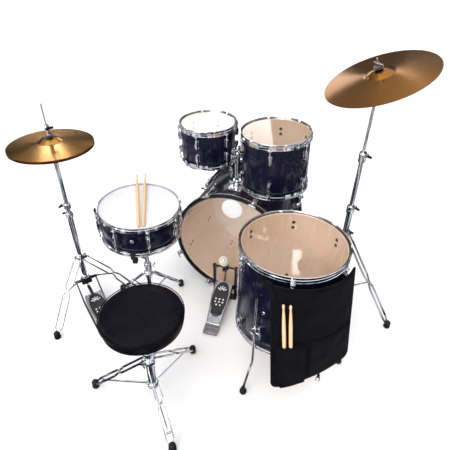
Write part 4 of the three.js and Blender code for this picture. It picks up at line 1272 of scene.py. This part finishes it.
base.add(block(124, 38, 7, 2.5, 0, 2, 4.5))
base.add(block(58, 34, 22, 5, 0, 36, 12.5))
base.add(block(38, 24, 7, 2.5, 0, 55, 22), 3)
base.add([block(9, 22, 10, 3, s * 10, 30, 32) for s in (-1, 1)], 0)
base.add([rod(Vector((0, 30, 22)), Vector((0, 30, 36)), 5, 16)], 2)
for s in (-1, 1):
    base.add(
        [tube(
            smooth_path(
                [(s * 30, -14, 4), (s * 24, -90, 4.5), (s * 20, -190, 5), (s * 22, KICK_HINGE, 6)], 6
            ),
            3.2, 12
        )],
        2
    )
heel_length = KICK_HINGE - KICK_HEEL
base.add(block(72, heel_length, 14, 4, 0, (KICK_HEEL + KICK_HINGE) / 2, 12), 1)
base.add(block(72, heel_length * 0.5, 4, 1.5, 0, KICK_HINGE - heel_length * 0.25, 20), 1)
base.add([rod(Vector((-35, KICK_HINGE + 1, 24)), Vector((35, KICK_HINGE + 1, 24)), 4, 18)], 2)
base.done("kit", "black_metal", "kick_pedal_base")

board = Piece("kick_pedal_board", KICK_FRAME, CAST, BLACK_METAL, WHITE_DISC)
start, end = Vector((0, KICK_HINGE + 5, 26)), Vector((0, -14, 119))
footboard(board, (end - start).length, 46, 34, 8, tilt_to(start, end))
board.done("kick_footboard", "aluminium", "kick_pedal_footboard")
# The real chain pays out from the cam, so its rigid stand-in stretches between the cam and the footboard
links = Piece("kick_pedal_chain", KICK_FRAME, BLACK_METAL)
chain_low, chain_high = Vector((0, -12, 122)), Vector((0, 24, 196))
chain(links, chain_low, chain_high, 0)
links = links.done(None, "black_metal")
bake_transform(links)

LEAN = math.radians(90 + 36)


def reach(length, x=12.0):
    return Vector((x, length * math.cos(LEAN), AXLE + length * math.sin(LEAN)))


beater = Piece("kick_beater_finish", KICK_FRAME, CHROME, CREAM_FELT, BLACK_METAL)
beater.add([rod(reach(-22), reach(138), 3.9, 20)])
beater.add([rod(Vector((-50, 0, AXLE)), Vector((50, 0, AXLE)), 4.8, 24)], 2)
beater.add(
    moved(
        pole(
            [(0, -9), (24, -9), (26, -7), (26, -4), (21, -3), (21, 3), (26, 4), (26, 7), (24, 9), (0, 9)],
            40
        ),
        Matrix.Translation((0, 0, AXLE)) @ Matrix.Rotation(math.pi / 2, 4, "Y")
    ),
    2
)
beater.add(block(14, 20, 20, 3, 12, 0, AXLE), 2)
beater.add(
    along(
        pole(
            [
                (0, 0), (7, 0), (8, 1), (8, 3), (16, 4), (21, 8), (24, 15), (24.5, 24), (23, 34), (19, 41),
                (13, 44), (6, 45), (0, 45)
            ],
            48
        ),
        reach(101), reach(150)
    ),
    1
)
beater.add(along(pole([(0, 0), (6.5, 0), (7, 1), (7, 3), (5, 4.5), (0, 4.5)], 24), reach(145), reach(160)), 0)
beater.done("kick_beater", "chrome", "kick_pedal_beater")

# ---------------------------------------------------------------- throne seat and post
post = Piece("throne_post_finish", place(*THRONE_AT), CHROME, BLACK_METAL)
post.add(revolve([(9.5, 140), (12.6, 140), (12.6, 424), (22, 428), (22, 435.6), (9.5, 435.6)], 40))
post.add(shifted(pole([(0, 0), (58, 0), (60, 1), (60, 3), (58, 4), (0, 4)], 48), 0, 0, 435.5), 1)
post.done("throne_post", "chrome", "throne_post")
SEAT_R, SEAT_LOW, SEAT_HIGH = 154, 440, 503
SEAM_Z = SEAT_HIGH - 15
SEAT_VOXEL, SWELL_CAP, CLOTH_FRAMES = 0.0055, 0.004, 20


def seat_profile(shrink):
    """The section of the seat, from the middle of its underside round to its top."""
    r = SEAT_R - shrink
    return [
        (0, SEAT_LOW + shrink * 0.3), (r - 12, SEAT_LOW + shrink * 0.3), (r - 5, SEAT_LOW + 5),
        (r - 1.5, SEAT_LOW + 16), (r, SEAT_LOW + 30), (r - 1, SEAM_Z - 3), (r - 3, SEAM_Z),
        (r - 6, SEAM_Z + 4), (r - 16, SEAM_Z + 8.5), (r - 36, SEAM_Z + 11.2), (r - 70, SEAM_Z + 12.6),
        (0, SEAM_Z + 13.4)
    ]


def padded_seat():
    """A cushion: remeshed, blown up by cloth pressure with its movement capped, and smoothed."""
    piece = Piece("seat_cushion", place(*THRONE_AT), VINYL)
    piece.add(pole(seat_profile(2.5), 96))
    made = piece.done("throne_seat", "vinyl", "throne_seat")
    remesh = made.modifiers.new("remesh", "REMESH")
    remesh.mode, remesh.voxel_size = "VOXEL", SEAT_VOXEL
    bake_modifiers(made)
    rest = [v.co.copy() for v in made.data.vertices]
    sewn = made.vertex_groups.new(name="sewn")
    sewn.add([v.index for v in made.data.vertices if v.co.z < (SEAM_Z + 1) * MM], 1.0, "REPLACE")
    cloth = made.modifiers.new("cloth", "CLOTH")
    cloth.settings.vertex_group_mass = "sewn"
    cloth.settings.use_pressure = True
    cloth.settings.uniform_pressure_force = 4
    cloth.settings.effector_weights.gravity = 0
    cloth.settings.quality = 5
    cloth.point_cache.frame_start, cloth.point_cache.frame_end = 1, CLOTH_FRAMES
    for number in range(1, CLOTH_FRAMES + 1):
        bpy.context.scene.frame_set(number)
    bake_modifiers(made)
    for v, start_ in zip(made.data.vertices, rest):
        step = v.co - start_
        if step.length > SWELL_CAP:
            v.co = start_ + step.normalized() * SWELL_CAP
    bpy.context.scene.frame_set(1)
    for v in made.data.vertices:
        r = math.hypot(v.co.x, v.co.y)
        if v.co.z < (SEAT_LOW + 1) * MM:
            v.co.z = (SEAT_LOW + 1) * MM
        pucker = math.exp(-((v.co.z / MM - SEAM_Z) / 3.2) ** 2) if r > 0.1 else 0
        a = math.atan2(v.co.y, v.co.x)
        ripple = 0.5 * noise.noise(Vector((v.co.x * 26, v.co.y * 26, v.co.z * 50)))
        shrink = 1 - (2.4 * pucker + 0.35 * math.sin(a * 46) * pucker) * MM / max(r, 0.01)
        v.co.x *= shrink
        v.co.y *= shrink
        v.co.z += ripple * MM if v.co.z > SEAM_Z * MM else 0
    soften = made.modifiers.new("soften", "SUBSURF")
    soften.levels = soften.render_levels = 1
    bake_modifiers(made)
    made.data.polygons.foreach_set("use_smooth", [True] * len(made.data.polygons))
    return made


def bake_modifiers(made):
    """Applies all modifiers to the mesh."""
    depsgraph = bpy.context.evaluated_depsgraph_get()
    mesh = bpy.data.meshes.new_from_object(made.evaluated_get(depsgraph))
    made.modifiers.clear()
    made.data = mesh


seat = padded_seat()
rim = Piece("seat_piping", place(*THRONE_AT), VINYL_SIDE)
ring = [polar(SEAT_R - 2.6, 360 * k / 120, SEAM_Z) for k in range(120)]
rim.add(tube(ring, 1.8, 10, closed=True))
rim.add(tube([polar(SEAT_R - 9, 360 * k / 120, SEAT_LOW + 2.6) for k in range(120)], 2.2, 8, closed=True))
rim.done("throne_seat", "vinyl")

# ---------------------------------------------------------------- stick bag
BAG_TOP, BAG_BOTTOM, BAG_R, BAG_FROM, BAG_TO = 625, 130, 238, -97, -10
BAG_FACING, BAG_FLAT, BAG_BOW, BAG_HALF, BAG_SHIFT, BAG_THICK = -45, 240, 700, 187, 10, 12


def bag_point(across, up, out):
    """A place on the bag: shares of its width and height, and a distance out from the cloth's back."""
    top_ = polar(BAG_R - BAG_THICK + out, BAG_FROM + (BAG_TO - BAG_FROM) * across, BAG_TOP)
    side = (2 * across - 1) * BAG_HALF
    flat = BAG_FLAT - BAG_THICK + out - side * side / (2 * BAG_BOW)
    low = polar(flat, BAG_FACING, BAG_BOTTOM) + polar(side + BAG_SHIFT, BAG_FACING + 90)
    return low.lerp(top_, up)


CORNER = 0.06  # share of the bag's width and height that a rounded corner takes up


def corner_cut(across, up):
    """Pulls the bag's lower corners in so that they are round."""
    edge = min(across, 1 - across)
    if up < CORNER and edge < CORNER:
        reach_ = math.hypot(CORNER - edge, CORNER - up)
        if reach_ > CORNER:
            scale = CORNER / reach_
            edge_new = CORNER - (CORNER - edge) * scale
            up = CORNER - (CORNER - up) * scale
            across = edge_new if across < 0.5 else 1 - edge_new
    return across, up


def cloth_patch(left, right, low, high, back, front, columns, rows, wrinkle=1.0, seed=0.0):
    """A quilted panel on the bag between two shares of width and height, padded between back and front."""
    verts, faces = [], []
    for layer, out in ((0, back), (1, front)):
        for j in range(rows + 1):
            for i in range(columns + 1):
                u, v = left + (right - left) * i / columns, low + (high - low) * j / rows
                u, v = corner_cut(u, v)
                edge = min(i / columns, 1 - i / columns, j / rows, 1 - j / rows)
                puff = min(1.0, edge / 0.045)
                puff = math.sqrt(max(0.0, 1 - (1 - puff) ** 2))
                fold = noise.noise(Vector((
                    u * 5 + seed, v * 7, seed
                ))) * 2.6 + noise.noise(Vector((u * 16 + seed, v * 4, 3.1))) * 1.2
                depth = out if layer == 0 else back + (front - back) * (
                    0.35 + 0.65 * puff
                ) + fold * wrinkle * puff
                verts.append(bag_point(u, v, depth))
    width = columns + 1
    size = width * (rows + 1)
    for j in range(rows):
        for i in range(columns):
            a = j * width + i
            faces.append([a, a + width, a + width + 1, a + 1])
            b = size + a
            faces.append([b, b + 1, b + width + 1, b + width])
    rim_ = list(range(width)) + [j * width + columns for j in range(1, rows + 1)]
    rim_ += [
        rows * width + i for i in range(columns - 1, -1, -1)
    ] + [j * width for j in range(rows - 1, 0, -1)]
    for a, b in zip(rim_, rim_[1:] + rim_[:1]):
        faces.append([a, b, size + b, size + a])
    return verts, faces


BAG_FRAME = place(*FLOOR_TOM_AT[:2], 0)
bag = Piece("stick_bag_cloth", BAG_FRAME, NYLON)
bag.add(cloth_patch(0, 1, 0, 1, 0, 10, 64, 72))
bag_object = bag.done("kit", "cloth", "stick_bag", angle=60)
pockets = Piece("stick_bag_pockets", BAG_FRAME, NYLON)
pockets.add(cloth_patch(0.05, 0.34, 0.035, 0.48, 10, 34, 26, 44, 1.0, 4.0))
pockets.add(cloth_patch(0.40, 0.95, 0.045, 0.47, 10, 17, 44, 34, 1.6, 9.0))
pockets_object = pockets.done("kit", "cloth", angle=60)
trim = Piece("stick_bag_binding", BAG_FRAME, WEBBING)


def bag_line(points, out, steps=10):
    """A path on the bag through shares of its width and height."""
    path = []
    for (u0, v0), (u1, v1) in zip(points, points[1:]):
        for k in range(steps):
            t = k / steps
            path.append(bag_point(*corner_cut(u0 + (u1 - u0) * t, v0 + (v1 - v0) * t), out))
    return path


trim.add(tube(bag_line([(0, 0), (1, 0), (1, 1), (0, 1), (0, 0)], 5, steps=40), 3.6, 8, closed=True))
trim.add(tube(bag_line([(0.40, 0.47), (0.95, 0.47)], 14, steps=30) + [bag_point(0.95, 0.47, 12)], 2.4, 8))
toggle = bag_point(0.56, 0.0, 8)
for swing in (-1, 1):
    loop = [
        toggle + Vector((0, 0, 2)), toggle + Vector((3 * swing, -6, -8)),
        toggle + Vector((7 * swing, -9, -24)), toggle + Vector((5 * swing, -9, -40))
    ]
    trim.add(tube(smooth_path(loop), 1.6, 8))
trim.add(along(
    pole([(0, 0), (4, 0), (5.5, 2), (5.5, 14), (4, 16), (0, 16)], 20), toggle + Vector((0, -7, -18)),
    toggle + Vector((0, -6, 0))
))
strap = [
    bag_point(0.02, 0.90, 8), bag_point(0.0, 0.95, 4), polar(BAG_R - 12, -104, 618),
    polar(BAG_R - 19, -111, 628)
]
path = smooth_path(strap, 10)
trim.add([along(block(5, 20, (b - a).length * 1.15, 1), a, b) for a, b in zip(path, path[1:])])
trim.done("kit", "cloth", angle=60)

STICK_OUT = BAG_THICK + 7 + 1.5
for number, across in enumerate((0.125, 0.19), 1):
    low, high = bag_point(across, 0, STICK_OUT), bag_point(across, 1, STICK_OUT)
    start = low.lerp(high, 0.035)
    lay_stick(
        f"bag_stick_{number}_wood", f"bag_stick_{number}", f"bag_stick_{number}", BAG_FRAME @ (start * MM),
        BAG_FRAME @ (high * MM), MAPLE
    )

# ---------------------------------------------------------------- floor, light and camera
EYE, HEADING, DOWN, ROLL = (511.0, -1500.4, 1528.0), (-0.335, 0.942), 34.698, 0.701
camera_data = bpy.data.cameras.new("camera")
camera_data.lens, camera_data.sensor_width = 31.09, 36.0
camera = bpy.data.objects.new("camera", camera_data)
bpy.context.scene.collection.objects.link(camera)
yaw = math.degrees(math.atan2(HEADING[1], HEADING[0])) - 90
camera.matrix_world = place(*EYE, (yaw, "Z"), (90 - DOWN, "X"), (ROLL, "Z"))
bpy.context.scene.camera = camera

FLOOR_HALF = 90
floor_mesh = bpy.data.meshes.new("floor")
floor_mesh.from_pydata(
    [(x * FLOOR_HALF, y * FLOOR_HALF, 0) for x, y in ((-1, -1), (1, -1), (1, 1), (-1, 1))], [],
    [(0, 1, 2, 3)]
)
floor = bpy.data.objects.new("floor", floor_mesh)
floor.location.z = -0.0005
floor_material, floor_tree, floor_bsdf = shader("floor_paper", (0.93, 0.93, 0.93), 1.0)
floor_bsdf.inputs["Specular IOR Level"].default_value = 0.0
# Painted reflection: glossy rays see the floor as dark and pale patches instead of its even white, so chrome
# and lacquer mirror dark bands; all other rays see the even white
mirrored = node(floor_tree, "ShaderNodeLightPath")
painted_reflection_patches = noise_of(floor_tree, 2.2, 1.0)
both = node(floor_tree, "ShaderNodeMix", data_type="RGBA")
floor_tree.links.new(mirrored.outputs["Is Glossy Ray"], both.inputs["Factor"])
both.inputs[6].default_value = (0.93, 0.93, 0.93, 1)
floor_tree.links.new(
    blend_colors(floor_tree, painted_reflection_patches, (0.012, 0.012, 0.016), (0.8, 0.8, 0.82), 0.49, 0.58), both.inputs[7]
)
floor_tree.links.new(both.outputs[2], floor_bsdf.inputs["Base Color"])
floor_mesh.materials.append(floor_material)
bpy.context.scene.collection.objects.link(floor)


def studio_world():
    """A room that is bright overhead and dark around the horizon, so that metal has something to mirror."""
    world = bpy.data.worlds.new("studio")
    world.use_nodes = True
    tree = world.node_tree
    where = node(tree, "ShaderNodeTexCoord")
    split = node(tree, "ShaderNodeSeparateXYZ")
    tree.links.new(where.outputs["Generated"], split.inputs["Vector"])
    ramp = node(tree, "ShaderNodeValToRGB")
    stops = ramp.color_ramp.elements
    stops[0].position, stops[0].color = 0.0, (0.95, 0.95, 0.95, 1)
    stops[1].position, stops[1].color = 1.0, (1.0, 1.0, 1.0, 1)
    for height, level in ((0.02, 0.95), (0.035, 0.05), (0.42, 0.07), (0.56, 0.5), (0.8, 0.9)):
        stop = stops.new(height)
        stop.color = (level, level, level * 1.03, 1)
    tree.links.new(split.outputs["Z"], ramp.inputs["Fac"])
    seen = node(tree, "ShaderNodeLightPath")
    both = node(tree, "ShaderNodeMix", data_type="RGBA")
    tree.links.new(seen.outputs["Is Camera Ray"], both.inputs["Factor"])
    tree.links.new(ramp.outputs["Color"], both.inputs[6])
    both.inputs[7].default_value = (1.08, 1.08, 1.09, 1)
    tree.links.new(both.outputs[2], tree.nodes["Background"].inputs["Color"])
    tree.nodes["Background"].inputs["Strength"].default_value = 0.9
    bpy.context.scene.world = world


def light(name, kind, spot, target, energy, **settings):
    data = bpy.data.lights.new(name, kind)
    data.energy = energy
    for key, value in settings.items():
        setattr(data, key, value)
    made = bpy.data.objects.new(name, data)
    made.location = spot
    made.rotation_euler = (Vector(target) - Vector(spot)).to_track_quat("-Z", "Y").to_euler()
    bpy.context.scene.collection.objects.link(made)


def softbox(name, spot, target, width, height, radiance):
    light(
        name, "AREA", spot, target, radiance * math.pi * width * height, shape="RECTANGLE", size=width,
        size_y=height
    )


studio_world()
light("sky_front", "SUN", (-1.5, -4.5, 3.4), (0, 0, 0), 1.5, angle=math.radians(60))
light("sky_low", "SUN", (-0.8, -5, 1.2), (0, 0, 0), 1.4, angle=math.radians(50))
light("sky_top", "SUN", (1.2, 0.3, 6), (0, 0, 0), 1.3, angle=math.radians(80))
softbox("panel_far", ORIGIN + Vector((-1.27, 2.75, 2.28)), (-0.1, 0.3, 0.9), 1.42, 0.95, 3.0)
softbox("spark_hat", (-2.25, 1.48, 2.2), (-0.7, -0.05, 0.9), 0.4, 0.6, 9.0)
softbox("spark_crash", (0.15, 2.4, 2.9), (0.56, 0.3, 1.2), 0.12, 0.4, 6.0)
softbox("strip_left", (-3.2, -1.2, 1.5), (0, 0, 0.7), 0.5, 2.2, 7.0)
softbox("strip_right", (2.6, -2.4, 1.9), (0, 0, 0.5), 0.4, 2.0, 5.0)
bpy.context.scene.view_settings.view_transform = "Standard"
